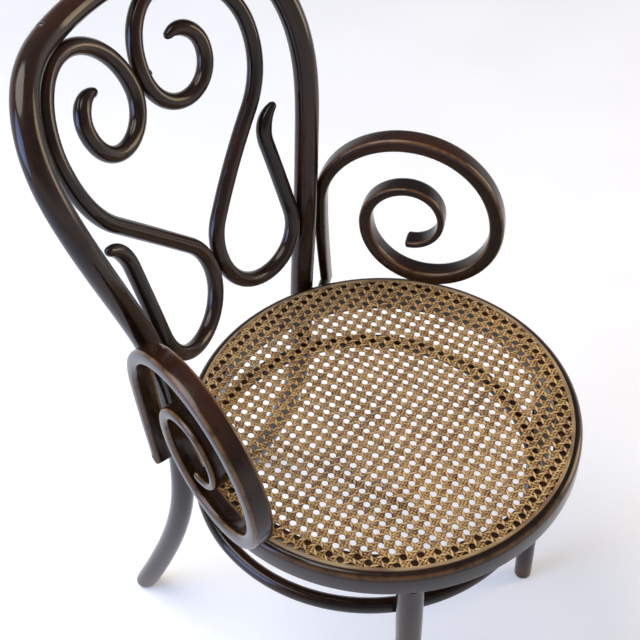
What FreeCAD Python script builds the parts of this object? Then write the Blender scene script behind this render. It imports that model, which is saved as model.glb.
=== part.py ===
import FreeCAD, Part
import math
import os
import Sketcher

# Bentwood armchair with a cane seat.
# Millimetres, floor at Z = 0, front towards -Y, sitter's left towards +X.
# The chair's vertical axis is the centre of the round seat. Every body is then moved back
# along Y by one placement, so that the row's origin is the middle of the bounding box on the floor.

Vector = FreeCAD.Vector
doc = FreeCAD.newDocument("bentwood_armchair")
sheet = doc.addObject("Spreadsheet::Sheet", "Sizes")
# The driving sizes, in millimetres and degrees
sizes = {
    # Seat ring, cane and spline
    "seat_height": 430,  # floor to top of the seat ring
    "ring_outer_radius": 221,  # outside of the seat ring
    "ring_width": 30,  # radial width of the ring's section
    "ring_thickness": 30,  # height of the ring's section
    "rim_rounding": 8,  # round-over of the upper outer edge
    "edge_break": 3,  # small bevels
    "groove_inset": 11,  # from the ring's outside to the middle of the spline's groove
    "groove_width": 5.0,
    "groove_depth": 5.0,
    "cane_thickness": 1.6,  # woven panel over the ring
    "cane_pitch": 32,  # coarser than the real half-inch mesh
    "cane_hole_width": 20,  # across one opening
    "spline_stand": 2.0,  # height of the spline above the ring
    "fit_gap": 0.3,  # clearance between touching bent parts
    # Back hoop with the rear legs, one bent rod. Its stations are measured from the joint where
    # it touches the ring: out = sideways, back = rearwards, rise = above the seat's top,
    # drop = below the crown
    "hoop_rod_diameter": 28,
    "foot_rounding": 9,
    "stile_angle": 33.3,  # degrees from the back axis to the joint
    "foot_out": -2.2,
    "foot_back": 112.3,
    "calf_out": -1.2,
    "calf_back": 54.3,
    "calf_height": 127,  # above the floor
    "shin_out": -1.2,
    "shin_back": 8.3,
    "shin_height": 280,  # above the floor
    "low_back_out": 10.3,
    "low_back_back": -2.2,
    "low_back_rise": 89,
    "mid_back_out": 34.8,
    "mid_back_back": 6.9,
    "mid_back_rise": 191,
    "wide_back_out": 61.8,
    "wide_back_back": 29.3,
    "wide_back_drop": 128,
    "shoulder_out": 54.3,
    "shoulder_back": 67.3,
    "shoulder_drop": 51,
    "bend_out": 19.5,
    "bend_back": 98.3,
    "bend_drop": 14,
    "crown_side_out": -51.2,
    "crown_side_back": 128.3,
    "crown_side_drop": 3.5,
    "crown_back": 134.8,
    "crown_rise": 431,
    # Scroll rods of the back, drawn in the front view as tangent arcs
    "scroll_rod_diameter": 18.4,
    "volute_outer_radius": 70.6,
    "volute_inner_radius": 42,
    "volute_eye_radius": 24,
    "volute_eye_angle": 125,  # degrees of the last turn
    "loop_drop": 213.9,  # from the volute's centre down to the lower loop's
    "shoulder_share": 0.566,  # radius of the long arc under the volute, over the loop's drop
    "tail_length": 84,  # straight run above the loop
    "tail_flare_radius": 40,
    "tail_flare_angle": 72,  # degrees
    "tip_taper": 0.62,  # rod size left at the tips
    "tip_length": 26,
    "scroll_forward": 10.7,  # before the ring joint, at seat height
    "scroll_behind_crown": 7.4,  # behind the crown's middle, at its height
    "scroll_sweep": 40.9,  # the curved share of the setback gained up to the crown
    "scroll_hollow": 29.5,  # forward bend at the volute's outer side
    # Arms: flat ribbons bent to a spiral in an upright plane that toes out to the front
    "arm_width": 24.5,  # across the ribbon, sideways
    "arm_thickness": 18,
    "arm_rear_thickness": 11,  # at the screwed rear end
    "arm_tip_thickness": 8,  # at the inner tip
    "arm_edge_break": 4,
    "arm_plane_clear": 1.7,  # from the ring's outside to the arm's middle plane
    "arm_toe_angle": 20.3,  # degrees
    "arm_lean": 0.05,  # outward run per height
    "arm_top_reach": 17.3,  # top of the spiral behind the plane's foot
    "arm_seat_lap": 1.6,  # planed off where the arm lies on the ring
    "arm_rear_forward": 19.2,  # rearmost point before the hoop's joint
    "arm_rear_drop": 96.6,  # from the top down to the rearmost point
    "arm_end_forward": 25.2,  # rear end before the hoop's joint
    "arm_end_rise": 1,  # rear end above the ring's underside
    "arm_turn_radius_b": 110.5,  # top to front
    "arm_turn_radius_c": 80.3,  # front to bottom
    "arm_turn_radius_d": 77.5,  # bottom to inner rear
    "arm_turn_radius_e": 49.7,  # inner rear to inner top
    "arm_turn_radius_f": 41.8,  # inner top to inner front
    "arm_turn_radius_g": 35.7,  # inner front to tip
    "arm_tip_angle": 12,  # degrees past the inner bottom
    # Front legs and leg hoop
    "front_leg_angle": 51.2,  # degrees from the front axis
    "front_leg_inset": 15.5,  # from the ring's outside to the leg's centre
    "front_leg_splay": 5.5,  # how much further out the foot stands
    "front_leg_top_diameter": 30,
    "front_leg_foot_diameter": 23,
    "tenon_diameter": 18,
    "tenon_length": 20,
    "leg_hoop_diameter": 17.5,
    "leg_hoop_height": 325,
    # Fasteners
    "coach_screw_diameter": 6,
    "coach_screw_grip": 22,  # length in the rear leg
    "coach_head_width": 10,  # across flats
    "coach_head_height": 4.5,
    "washer_diameter": 15,
    "washer_thickness": 1.2,
    "spacer_diameter": 12,  # turned wooden bush behind the arm
    "screw_diameter": 4,
    "screw_grip": 16,  # length in the far piece
    "screw_head_diameter": 8.5,
    "screw_head_height": 2.4,
    "screw_recess": 1.6,  # how far a head sits in the wood
    "hole_clearance": 0.15,  # radial play round a shank or head
}

for row, (alias, value) in enumerate(sizes.items(), start=1):
    sheet.set("A%d" % row, alias)
    sheet.set("B%d" % row, str(value))
    sheet.setAlias("B%d" % row, alias)
doc.recompute()


def size(alias):
    return float(sizes[alias])


def linear(constant=0.0, **terms):
    """A sum of sheet values: its number now, and the expression that keeps it bound."""
    number = constant
    text = "%g" % constant
    for alias, factor in terms.items():
        number += factor * size(alias)
        text += " + (%g) * Sizes.%s" % (factor, alias)
    return number, text


# Levels and radii that several pieces share

seat_top = size("seat_height")
ring_radius = size("ring_outer_radius")
ring_bottom = seat_top - size("ring_thickness")
ring_middle = seat_top - size("ring_thickness") / 2
groove_middle = ring_radius - size("groove_inset")


# Helpers for bodies with sketches

def new_body(label):
    body = doc.addObject("PartDesign::Body", label)
    body.Label = label
    return body


def origin_plane(body, role):
    for feature in body.Origin.OriginFeatures:
        if feature.Role == role:
            return feature
    raise ValueError(role)


def new_sketch(body, name, role, offset=None):
    sketch = body.newObject("Sketcher::SketchObject", name)
    sketch.AttachmentSupport = (origin_plane(body, role), [""])
    sketch.MapMode = "FlatFace"
    if offset is not None:
        sketch.AttachmentOffset = offset
    return sketch


def closed_outline(sketch, corners):
    """A closed run of straight lines; every corner is dimensioned from the sketch's origin."""
    first = sketch.GeometryCount
    points = [Vector(u[0], v[0], 0) for u, v in corners]
    count = len(points)
    for i in range(count):
        sketch.addGeometry(Part.LineSegment(points[i], points[(i + 1) % count]), False)
    for i in range(count):
        sketch.addConstraint(Sketcher.Constraint("Coincident", first + i, 2, first + (i + 1) % count, 1))
    for i in range(count):
        u, v = corners[i]
        for kind, (number, text) in (("DistanceX", u), ("DistanceY", v)):
            index = sketch.addConstraint(Sketcher.Constraint(kind, -1, 1, first + i, 1, number))
            sketch.setExpression("Constraints[%d]" % index, text)


def revolve(body, sketch, name):
    feature = body.newObject("PartDesign::Revolution", name)
    feature.Profile = sketch
    feature.ReferenceAxis = (sketch, ["V_Axis"])
    feature.Angle = 360.0
    body.Tip = feature
    doc.recompute()
    return feature


def cut_both_ways(body, sketch, name, length_text):
    """A pocket symmetric about its sketch, so it has no wrong direction."""
    feature = body.newObject("PartDesign::Pocket", name)
    feature.Profile = sketch
    feature.Midplane = True
    feature.setExpression("Length", length_text)
    body.Tip = feature
    doc.recompute()
    return feature


# Helpers for bent rods

def direction_between(a, b):
    d = b - a
    d.normalize()
    return d


def tangents_of(points):
    last = len(points) - 1
    return [direction_between(points[max(0, i - 1)], points[min(last, i + 1)]) for i in range(last + 1)]


def carried_normals(points, tangents, first_normal):
    """Normals carried along the line without twist: n' = n - (n.t) t, made unit length."""
    normals = []
    n = first_normal
    for t in tangents:
        n = n - t * n.dot(t)
        n.normalize()
        normals.append(n)
    return normals


def rod_solid(points, radii, sides=12):
    """A rod with a many-sided section; corners stand 1 % out so that flats and corners average round."""
    tangents = tangents_of(points)
    start = tangents[0].cross(Vector(0, 1, 0))
    normals = carried_normals(points, tangents, start)
    rings = []
    for p, t, n, r in zip(points, tangents, normals, radii):
        b = t.cross(n)
        corners = []
        for k in range(sides + 1):
            a = 2 * math.pi * (k % sides) / sides
            corners.append(p + n * (1.01 * r * math.cos(a)) + b * (1.01 * r * math.sin(a)))
        rings.append(Part.makePolygon(corners))
    return Part.makeLoft(rings, True, True)


def thin_out(points, turn_limit, step_limit):
    """Keeps the points that a rod of straight pieces needs: few on straights, more in bends."""
    kept = [points[0]]
    turned = 0.0
    run = 0.0
    before = direction_between(points[0], points[1])
    for i in range(1, len(points) - 1):
        after = direction_between(points[i], points[i + 1])
        turned += math.degrees(before.getAngle(after))
        run += points[i].distanceToPoint(points[i - 1])
        before = after
        if turned >= turn_limit or run >= step_limit:
            kept.append(points[i])
            turned = 0.0
            run = 0.0
    kept.append(points[-1])
    return kept


def nearest_pair(line_a, line_b):
    """The two closest points of two dense point lines, and their distance."""
    best = None
    for a in line_a:
        for b in line_b:
            d = a.distanceToPoint(b)
            if best is None or d < best[0]:
                best = (d, a, b)
    return best


def solve(function, low, high):
    """Bisection for the value where a rising or falling function crosses zero."""
    at_low = function(low)
    for _ in range(24):
        middle = 0.5 * (low + high)
        if (function(middle) > 0) == (at_low > 0):
            low = middle
        else:
            high = middle
    return 0.5 * (low + high)


def mirrored(shape):
    return shape.mirror(Vector(0, 0, 0), Vector(1, 0, 0))


def flip(point):
    return Vector(-point.x, point.y, point.z)


# Back hoop: one rod from foot to foot through named stations

hoop_radius = size("hoop_rod_diameter") / 2
stile_angle = math.radians(size("stile_angle"))
joint_radius = ring_radius + size("fit_gap") + hoop_radius
joint = Vector(joint_radius * math.sin(stile_angle), joint_radius * math.cos(stile_angle), ring_middle)
mid_back_height = seat_top + size("mid_back_rise")
crown_height = seat_top + size("crown_rise")
shoulder_height = crown_height - size("shoulder_drop")


def hoop_station(name, height):
    return Vector(joint.x + size(name + "_out"), joint.y + size(name + "_back"), height)


def hoop_stations():
    """The sitter's left side from foot to crown, the crown, and the same stations mirrored."""
    # the rod is drawn on a little below the floor, along its slant, and cut off level with it
    below = 14
    slant = (size("foot_back") - size("calf_back")) / size("calf_height")
    side = [hoop_station("foot", -below) + Vector(0, slant * below, 0)]
    for name in ("calf", "shin"):
        side.append(hoop_station(name, size(name + "_height")))
    side.append(joint)
    for name in ("low_back", "mid_back"):
        side.append(hoop_station(name, seat_top + size(name + "_rise")))
    for name in ("wide_back", "shoulder", "bend", "crown_side"):
        side.append(hoop_station(name, crown_height - size(name + "_drop")))
    crown = Vector(0, joint.y + size("crown_back"), crown_height)
    return side + [crown] + [flip(p) for p in reversed(side)]


def hoop_line(samples):
    curve = Part.BSplineCurve()
    curve.interpolate(hoop_stations())
    first, last = curve.FirstParameter, curve.LastParameter
    return [curve.value(first + (last - first) * i / samples) for i in range(samples + 1)]


hoop_points = hoop_line(600)
right_hoop = [p for p in hoop_points if p.x > 0]


def hoop_at_height(height):
    """The right rear leg's centre at a height below the seat."""
    legs = [p for p in right_hoop if p.z < seat_top]
    return min(legs, key=lambda p: abs(p.z - height))


# Scroll rod: arcs in the front view, laid on the hollow, raked back surface

scroll_radius = size("scroll_rod_diameter") / 2
touch_distance = hoop_radius + scroll_radius + size("fit_gap")
centre_touch = scroll_radius + size("fit_gap") / 2


def back_surface(x, height):
    """Setback of the scrolls: y = y0 + a u + b u^2 - c w^2.

    u is the height over the seat as a share of the crown's, w the place across as a share
    of the volute's outer side.
    """
    u = (height - seat_top) / size("crown_rise")
    w = x / (centre_touch + 2 * size("volute_outer_radius"))
    curved = size("scroll_sweep")
    straight = size("crown_back") + size("scroll_behind_crown") + size("scroll_forward") - curved
    rake = straight * u + curved * u * u
    return joint.y - size("scroll_forward") + rake - size("scroll_hollow") * w * w


def arc_points(cx, cz, radius, start, end, step=3.0):
    """Points on an arc, angles in degrees, without the last one."""
    count = max(2, int(abs(end - start) / step))
    out = []
    for i in range(count):
        a = math.radians(start + (end - start) * i / count)
        out.append((cx + radius * math.cos(a), cz + radius * math.sin(a)))
    return out


def scroll_front_view(loop_radius, level):
    """(x, height) along the rod: volute eye, inner turn, outer turn, shoulder, line, loop, tail.

    level is the height of the volute's centre.
    """
    outer = size("volute_outer_radius")
    inner = size("volute_inner_radius")
    eye = size("volute_eye_radius")
    outer_x = centre_touch + outer
    inner_x = centre_touch + inner
    eye_x = centre_touch + 2 * inner - eye
    shoulder = size("shoulder_share") * size("loop_drop")
    shoulder_x = centre_touch + 2 * outer - shoulder
    loop_x = centre_touch + loop_radius
    loop_z = level - size("loop_drop")
    # the straight run is the crossing tangent of the shoulder arc and the loop
    dx, dz = loop_x - shoulder_x, loop_z - level
    reach = math.hypot(dx, dz)
    beta = math.atan2(dz, dx) + math.acos((shoulder + loop_radius) / reach)
    leave = math.degrees(beta)
    line = arc_points(eye_x, level, eye, size("volute_eye_angle"), 0)
    line += arc_points(inner_x, level, inner, 360, 180)
    line += arc_points(outer_x, level, outer, 180, 0)
    line += arc_points(shoulder_x, level, shoulder, 0, leave)
    start = (shoulder_x + shoulder * math.cos(beta), level + shoulder * math.sin(beta))
    end = (loop_x - loop_radius * math.cos(beta), loop_z - loop_radius * math.sin(beta))
    for i in range(12):
        line.append((start[0] + (end[0] - start[0]) * i / 12, start[1] + (end[1] - start[1]) * i / 12))
    line += arc_points(loop_x, loop_z, loop_radius, leave + 180, 360)
    side_x = loop_x + loop_radius
    line += [(side_x, loop_z + size("tail_length") * i / 10) for i in range(10)]
    flare = size("tail_flare_radius")
    tail_top = loop_z + size("tail_length")
    line += arc_points(side_x + flare, tail_top, flare, 180, 180 - size("tail_flare_angle"))
    return line


def scroll_line(loop_radius, level):
    return [Vector(x, back_surface(x, z), z) for x, z in scroll_front_view(loop_radius, level)]


def top_of_volute(points, level):
    return [p for p in points if p.z > level + 0.4 * size("volute_outer_radius")]


def outside_of_loop(points, loop_radius, level):
    return [p for p in points if p.z < level - size("loop_drop") + 5 and p.x > loop_radius]


lower_stile = [p for p in right_hoop if seat_top < p.z < mid_back_height]
crown_part = [p for p in right_hoop if p.z > shoulder_height]


def crown_gap(level):
    """Room between the crown and a volute at this level; the loop has no part in it."""
    points = scroll_line(0.8 * size("volute_outer_radius"), level)
    return nearest_pair(top_of_volute(points, level), crown_part)[0] - touch_distance


def loop_gap(loop_radius):
    """Room between the stile and a loop of this radius."""
    points = scroll_line(loop_radius, volute_height)
    return nearest_pair(outside_of_loop(points, loop_radius, volute_height), lower_stile)[0] - touch_distance


widest = size("volute_outer_radius")
volute_height = solve(crown_gap, crown_height - 3 * widest, crown_height - widest)
loop_radius = solve(loop_gap, 0.5 * widest, 1.05 * widest)
print("loop radius %.2f, volute height %.2f" % (loop_radius, volute_height))
scroll_points = scroll_line(loop_radius, volute_height)


def tip_radii(points, radius):
    """Full size, thinning to the tip at both ends: r = R (k + (1 - k) sin(pi/2 s / L))."""
    keep, length = size("tip_taper"), size("tip_length")
    total = [0.0]
    for a, b in zip(points[:-1], points[1:]):
        total.append(total[-1] + a.distanceToPoint(b))
    out = []
    for s in total:
        near = min(s, total[-1] - s, length)
        out.append(radius * (keep + (1 - keep) * math.sin(math.pi / 2 * near / length)))
    return out


# Contacts between the bent parts, found on the centre lines

loop_contact = nearest_pair(lower_stile, outside_of_loop(scroll_points, loop_radius, volute_height))
crown_contact = nearest_pair(crown_part, top_of_volute(scroll_points, volute_height))


# Leg hoop: the circle that touches the inner sides of all four legs

leg_angle = math.radians(size("front_leg_angle"))


def down_front_leg(top, foot, height):
    """A size that changes evenly from under the ring to the floor."""
    return top + (foot - top) * (ring_bottom - height) / ring_bottom


def front_leg_centre(height):
    top = ring_radius - size("front_leg_inset")
    r = down_front_leg(top, top + size("front_leg_splay"), height)
    return Vector(r * math.sin(leg_angle), -r * math.cos(leg_angle), height)


def front_leg_radius(height):
    return down_front_leg(size("front_leg_top_diameter") / 2, size("front_leg_foot_diameter") / 2, height)


hoop_level = size("leg_hoop_height")
front_post = front_leg_centre(hoop_level)
rear_post = hoop_at_height(hoop_level)


def reach_difference(centre_y):
    front = math.hypot(front_post.x, front_post.y - centre_y) - front_leg_radius(hoop_level)
    rear = math.hypot(rear_post.x, rear_post.y - centre_y) - hoop_radius
    return front - rear


leg_hoop_centre = solve(reach_difference, -0.3 * ring_radius, 0.4 * ring_radius)
leg_hoop_reach = math.hypot(rear_post.x, rear_post.y - leg_hoop_centre) - hoop_radius
leg_hoop_radius = leg_hoop_reach - size("leg_hoop_diameter") / 2 - size("fit_gap")
print("leg hoop centre y %.2f, radius %.2f" % (leg_hoop_centre, leg_hoop_radius))


# Arms: flat ribbons bent to a spiral in an upright plane that toes out to the front

toe = math.radians(size("arm_toe_angle"))
arm_forward = Vector(math.sin(toe), -math.cos(toe), 0)
arm_outward = Vector(math.cos(toe), math.sin(toe), 0)
arm_half = size("arm_width") / 2
# the second quarter turn ends on the ring, so its two radii and the ring set the arm's top
arm_bottom = seat_top + size("arm_thickness") / 2 - size("arm_seat_lap")
arm_top = arm_bottom + size("arm_turn_radius_b") + size("arm_turn_radius_c")
arm_end = ring_bottom + size("arm_end_rise")
arm_rear_height = arm_top - size("arm_rear_drop")
# the rear strand keeps its place before the hoop's joint with the ring
joint_reach = -joint.dot(arm_forward)
rear_reach = joint_reach - size("arm_rear_forward")
end_reach = joint_reach - size("arm_end_forward")


def arm_place(reach, height):
    """A point of the arm's centre line in its leaning plane."""
    offset = ring_radius + size("arm_plane_clear") + size("arm_lean") * (height - seat_top)
    point = arm_outward * offset + arm_forward * reach
    return Vector(point.x, point.y, height)


def strand_place(height):
    """The rear strand: upright at its top, easing forward to its screwed end."""
    share = (height - arm_end) / (arm_rear_height - arm_end)
    eased = math.sin(math.pi / 2 * share)
    reach = end_reach + (rear_reach - end_reach) * eased
    return arm_place(-reach, height)


def arm_stations():
    """(point, thickness) from the rear end round to the inner tip."""
    full, thin, tip = size("arm_thickness"), size("arm_rear_thickness"), size("arm_tip_thickness")
    rear_thickness = 0.4 * thin + 0.6 * full
    top_reach = -size("arm_top_reach")
    drop = size("arm_rear_drop")
    out = []
    steps = 4
    for i in range(steps):
        share = i / steps
        height = arm_end + (arm_rear_height - arm_end) * share
        out.append((strand_place(height), thin + (rear_thickness - thin) * share))
    back = top_reach + rear_reach
    steps = 6
    for i in range(steps):
        a = math.pi / 2 * i / steps
        point = arm_place(top_reach - back * math.cos(a), arm_rear_height + drop * math.sin(a))
        out.append((point, rear_thickness + (full - rear_thickness) * i / steps))
    turns = "bcdefg"
    thicknesses = [full, full, full, 0.86 * full, 0.62 * full, 0.5 * full, tip]
    last_reach, last_height = top_reach, arm_top
    start = 90.0
    for i, letter in enumerate(turns):
        radius = size("arm_turn_radius_" + letter)
        a = math.radians(start)
        centre_reach, centre_height = last_reach - radius * math.cos(a), last_height - radius * math.sin(a)
        sweep = 90.0 if letter != "g" else 90.0 + size("arm_tip_angle")
        steps = 6 if letter in "bcd" else 5
        for k in range(steps):
            a = math.radians(start - sweep * k / steps)
            point = arm_place(centre_reach + radius * math.cos(a), centre_height + radius * math.sin(a))
            share = k / steps
            out.append((point, thicknesses[i] * (1 - share) + thicknesses[i + 1] * share))
        a = math.radians(start - sweep)
        last_reach, last_height = centre_reach + radius * math.cos(a), centre_height + radius * math.sin(a)
        start -= 90.0
    out.append((arm_place(last_reach, last_height), tip))
    return out


arm_line = arm_stations()


def arm_solid():
    """The ribbon: a bevelled rectangle, wide sideways and thin across the bend."""
    tangents = tangents_of([point for point, thickness in arm_line])
    rings = []
    for (point, thickness), t in zip(arm_line, tangents):
        across = t.cross(arm_outward)
        across.normalize()
        side = across.cross(t)
        w, h = arm_half, thickness / 2
        c = min(size("arm_edge_break"), 0.25 * thickness)
        upper = [(w, h - c), (w - c, h), (c - w, h), (-w, h - c)]
        lower = [(-a, -b) for a, b in upper]
        ring = [point + side * a + across * b for a, b in upper + lower]
        rings.append(Part.makePolygon(ring + [ring[0]]))
    return Part.makeLoft(rings, True, True)


# Fasteners: a shank and a head; the wood gets a bore and a recess with a little play

def prism(start, direction, radius, length, sides):
    """A round bar drawn with flat sides."""
    up = Vector(0, 1, 0) if abs(direction.z) > 0.9 else Vector(0, 0, 1)
    u = up.cross(direction)
    u.normalize()
    v = direction.cross(u)
    corners = []
    for k in range(sides):
        a = 2 * math.pi * (k + 0.5) / sides
        corners.append(start + u * (radius * math.cos(a)) + v * (radius * math.sin(a)))
    return Part.Face(Part.makePolygon(corners + [corners[0]])).extrude(direction * length)


screw_radius = size("screw_diameter") / 2
screw_head_radius = size("screw_head_diameter") / 2
head_height = size("screw_head_height")
recess = size("screw_recess")
play = size("hole_clearance")


def screw(start, direction, length):
    """Wood screw; start is the underside of its head."""
    shank = prism(start, direction, screw_radius, length, 8)
    head = prism(start - direction * head_height, direction, screw_head_radius, head_height, 12)
    return shank.fuse(head).removeSplitter()


def screw_bore(start, direction, length):
    bore = prism(start - direction, direction, screw_radius + play, length + 2, 8)
    sink = prism(start - direction * 14, direction, screw_head_radius + play, 14, 12)
    return bore.fuse(sink)


def both_sides(shape):
    return [shape, mirrored(shape)]


def rod_screw(contact):
    """From the far side of the hoop, through it, to the middle of the scroll."""
    direction = direction_between(contact[1], contact[2])
    start = contact[1] - direction * (hoop_radius - recess)
    return start, direction, 2 * hoop_radius - recess + scroll_radius


stile_screw = rod_screw(loop_contact)
crown_screw = rod_screw(crown_contact)

pair_direction = Vector(-1, 0, 0)
pair_length = 2 * centre_touch + 0.6 * scroll_radius - recess
pair_x = centre_touch + scroll_radius - recess
pair_screws = []
for level in (volute_height, volute_height - size("loop_drop")):
    head_place = Vector(pair_x, back_surface(centre_touch, level), level)
    pair_screws.append((head_place, pair_direction, pair_length))

hoop_middle = Vector(0, leg_hoop_centre, hoop_level)


def leg_hoop_screw(post, post_radius):
    """Starts in the inner side of the leg hoop and runs outwards into the leg."""
    outward = direction_between(hoop_middle, Vector(post.x, post.y, hoop_level))
    inside = leg_hoop_radius - size("leg_hoop_diameter") / 2 + recess
    return hoop_middle + outward * inside, outward, size("leg_hoop_diameter") - recess + post_radius


rear_hoop_screw = leg_hoop_screw(rear_post, hoop_radius)
front_hoop_screw = leg_hoop_screw(front_post, front_leg_radius(hoop_level))

arm_screw_middle = strand_place(ring_bottom + 0.4 * size("ring_thickness"))
arm_screw_direction = arm_outward * -1
along = arm_screw_middle.dot(arm_outward)
across_square = arm_screw_middle.x ** 2 + arm_screw_middle.y ** 2
arm_to_ring = along - math.sqrt(along ** 2 - across_square + ring_radius ** 2)
arm_rear_screw = (
    arm_screw_middle + arm_outward * (arm_half - recess), arm_screw_direction,
    arm_half - recess + arm_to_ring + size("screw_grip"))

outer_turns = [point for point, thickness in arm_line if point.dot(arm_forward) > -size("arm_top_reach")]
seat_touch = min(outer_turns, key=lambda point: point.z)
seat_touch_angle = math.atan2(seat_touch.y, seat_touch.x)
under_screw_radius = 0.5 * (ring_radius + groove_middle + size("groove_width") / 2)
arm_front_screw = (
    Vector(under_screw_radius * math.cos(seat_touch_angle), under_screw_radius * math.sin(seat_touch_angle),
           ring_bottom + recess),
    Vector(0, 0, 1), size("ring_thickness") - recess + 6)

coach_radius = size("coach_screw_diameter") / 2
coach_direction = Vector(math.sin(stile_angle), math.cos(stile_angle), 0)
# the flat washer's middle stands a hair clear of the ring's hollow inner wall
washer_clear = 0.2
head_face_radius = ring_radius - size("ring_width") - washer_clear - size("washer_thickness")
coach_start = coach_direction * head_face_radius + Vector(0, 0, ring_middle)
coach_length = ring_radius + size("fit_gap") + size("coach_screw_grip") - head_face_radius


def coach_screw():
    """A hexagon head and its shank, from inside the ring out into the rear leg."""
    shank = prism(coach_start, coach_direction, coach_radius, coach_length, 10)
    corner = size("coach_head_width") / 2 / math.cos(math.pi / 6)
    head_start = coach_start - coach_direction * size("coach_head_height")
    head = prism(head_start, coach_direction, corner, size("coach_head_height"), 6)
    return shank.fuse(head).removeSplitter()


def coach_washer():
    """A flat ring under the coach screw's head."""
    disc = prism(coach_start, coach_direction, size("washer_diameter") / 2, size("washer_thickness"), 12)
    return disc.cut(prism(coach_start - coach_direction, coach_direction, coach_radius + play, 20, 10))


def coach_bore():
    return prism(coach_start, coach_direction, coach_radius + play, coach_length + 1, 10)


stile_bores = both_sides(screw_bore(*stile_screw))
crown_bores = both_sides(screw_bore(*crown_screw))
pair_bores = [screw_bore(*place) for place in pair_screws]
rear_hoop_bores = both_sides(screw_bore(*rear_hoop_screw))
front_hoop_bores = both_sides(screw_bore(*front_hoop_screw))
arm_rear_bores = both_sides(screw_bore(*arm_rear_screw))
arm_front_bores = both_sides(screw_bore(*arm_front_screw))
coach_bores = both_sides(coach_bore())


# Sketched bodies: seat ring, spline and front legs

def seat_ring():
    """A turned ring: rounded outside, grooved on top, with a mortise for each front leg."""
    body = new_body("seat_ring_blank")
    sketch = new_sketch(body, "ring_section", "XZ_Plane")
    top = linear(seat_height=1)
    bottom = linear(seat_height=1, ring_thickness=-1)
    inner = linear(ring_outer_radius=1, ring_width=-1)
    outer = linear(ring_outer_radius=1)
    groove_out = linear(ring_outer_radius=1, groove_inset=-1, groove_width=0.5)
    groove_in = linear(ring_outer_radius=1, groove_inset=-1, groove_width=-0.5)
    deep = linear(seat_height=1, groove_depth=-1)
    slant = 1 - math.cos(math.pi / 4)
    corners = [
        (inner, bottom),
        (linear(ring_outer_radius=1, edge_break=-1), bottom),
        (outer, linear(seat_height=1, ring_thickness=-1, edge_break=1)),
        (outer, linear(seat_height=1, rim_rounding=-1)),
        (linear(ring_outer_radius=1, rim_rounding=-slant), linear(seat_height=1, rim_rounding=-slant)),
        (linear(ring_outer_radius=1, rim_rounding=-1), top),
        (groove_out, top), (groove_out, deep), (groove_in, deep), (groove_in, top),
        (inner, top),
    ]
    closed_outline(sketch, corners)
    revolve(body, sketch, "ring_turned")
    mortises = level_sketch(body, "mortises", "Sizes.seat_height - Sizes.ring_thickness")
    mortise_radius = {"tenon_diameter": 0.5, "hole_clearance": 1}
    for side in (1, -1):
        closed_outline(mortises, many_sided(12, leg_place(side, foot=False), mortise_radius))
    cut_both_ways(body, mortises, "mortise_cut", "2 * (Sizes.tenon_length + 1)")
    return body


def cane_spline():
    """The cord-like strip that wedges the cane in the groove."""
    body = new_body("cane_spline")
    sketch = new_sketch(body, "spline_section", "XZ_Plane")
    low = linear(seat_height=1, groove_depth=-1, hole_clearance=1)
    shy = linear(seat_height=1, spline_stand=0.4)
    groove = {"ring_outer_radius": 1, "groove_inset": -1}
    inner = linear(**groove, groove_width=-0.5, cane_thickness=0.5, hole_clearance=2)
    outer = linear(**groove, groove_width=0.5, hole_clearance=-1)
    crest = (linear(**groove, cane_thickness=0.3), linear(seat_height=1, spline_stand=1))
    closed_outline(sketch, [(inner, low), (outer, low), (outer, shy), crest, (inner, shy)])
    revolve(body, sketch, "spline_bent")
    return body


def level_sketch(body, name, height_text):
    sketch = new_sketch(body, name, "XY_Plane")
    sketch.setExpression("AttachmentOffset.Base.z", height_text)
    return sketch


def many_sided(sides, centre, radius):
    """Corners of a round outline drawn with flat sides; every term is a share of a sheet value."""
    corners = []
    for k in range(sides):
        a = 2 * math.pi * (k + 0.5) / sides
        u, v = dict(centre[0]), dict(centre[1])
        for alias, share in radius.items():
            u[alias] = u.get(alias, 0) + share * math.cos(a)
            v[alias] = v.get(alias, 0) + share * math.sin(a)
        corners.append((linear(**u), linear(**v)))
    return corners


def leg_place(side, foot):
    """The centre of a front leg, as shares of the values that its radius is made of."""
    radius = {"ring_outer_radius": 1, "front_leg_inset": -1}
    if foot:
        radius["front_leg_splay"] = 1
    sideways = {alias: share * side * math.sin(leg_angle) for alias, share in radius.items()}
    forward = {alias: -share * math.cos(leg_angle) for alias, share in radius.items()}
    return sideways, forward


def front_leg(label, side):
    """A tapering, slightly splayed leg with a tenon that stands in the ring's mortise."""
    body = new_body(label)
    foot_place = leg_place(side, foot=True)
    top_place = leg_place(side, foot=False)
    sole_radius = {"front_leg_foot_diameter": 0.5, "edge_break": -0.5}
    sole = level_sketch(body, label + "_sole", "0")
    closed_outline(sole, many_sided(16, foot_place, sole_radius))
    foot = level_sketch(body, label + "_foot", "Sizes.edge_break")
    closed_outline(foot, many_sided(16, foot_place, {"front_leg_foot_diameter": 0.5}))
    shoulder_text = "Sizes.seat_height - Sizes.ring_thickness - Sizes.hole_clearance"
    shoulder = level_sketch(body, label + "_shoulder", shoulder_text)
    closed_outline(shoulder, many_sided(16, top_place, {"front_leg_top_diameter": 0.5}))
    loft = body.newObject("PartDesign::AdditiveLoft", label + "_taper")
    loft.Profile = sole
    loft.Sections = [foot, shoulder]
    loft.Ruled = True
    body.Tip = loft
    doc.recompute()
    tenon = level_sketch(body, label + "_tenon", shoulder_text)
    closed_outline(tenon, many_sided(12, top_place, {"tenon_diameter": 0.5}))
    pad = body.newObject("PartDesign::Pad", label + "_tenon_pad")
    pad.Profile = tenon
    pad.setExpression("Length", "Sizes.tenon_length")
    body.Tip = pad
    doc.recompute()
    return body


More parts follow.
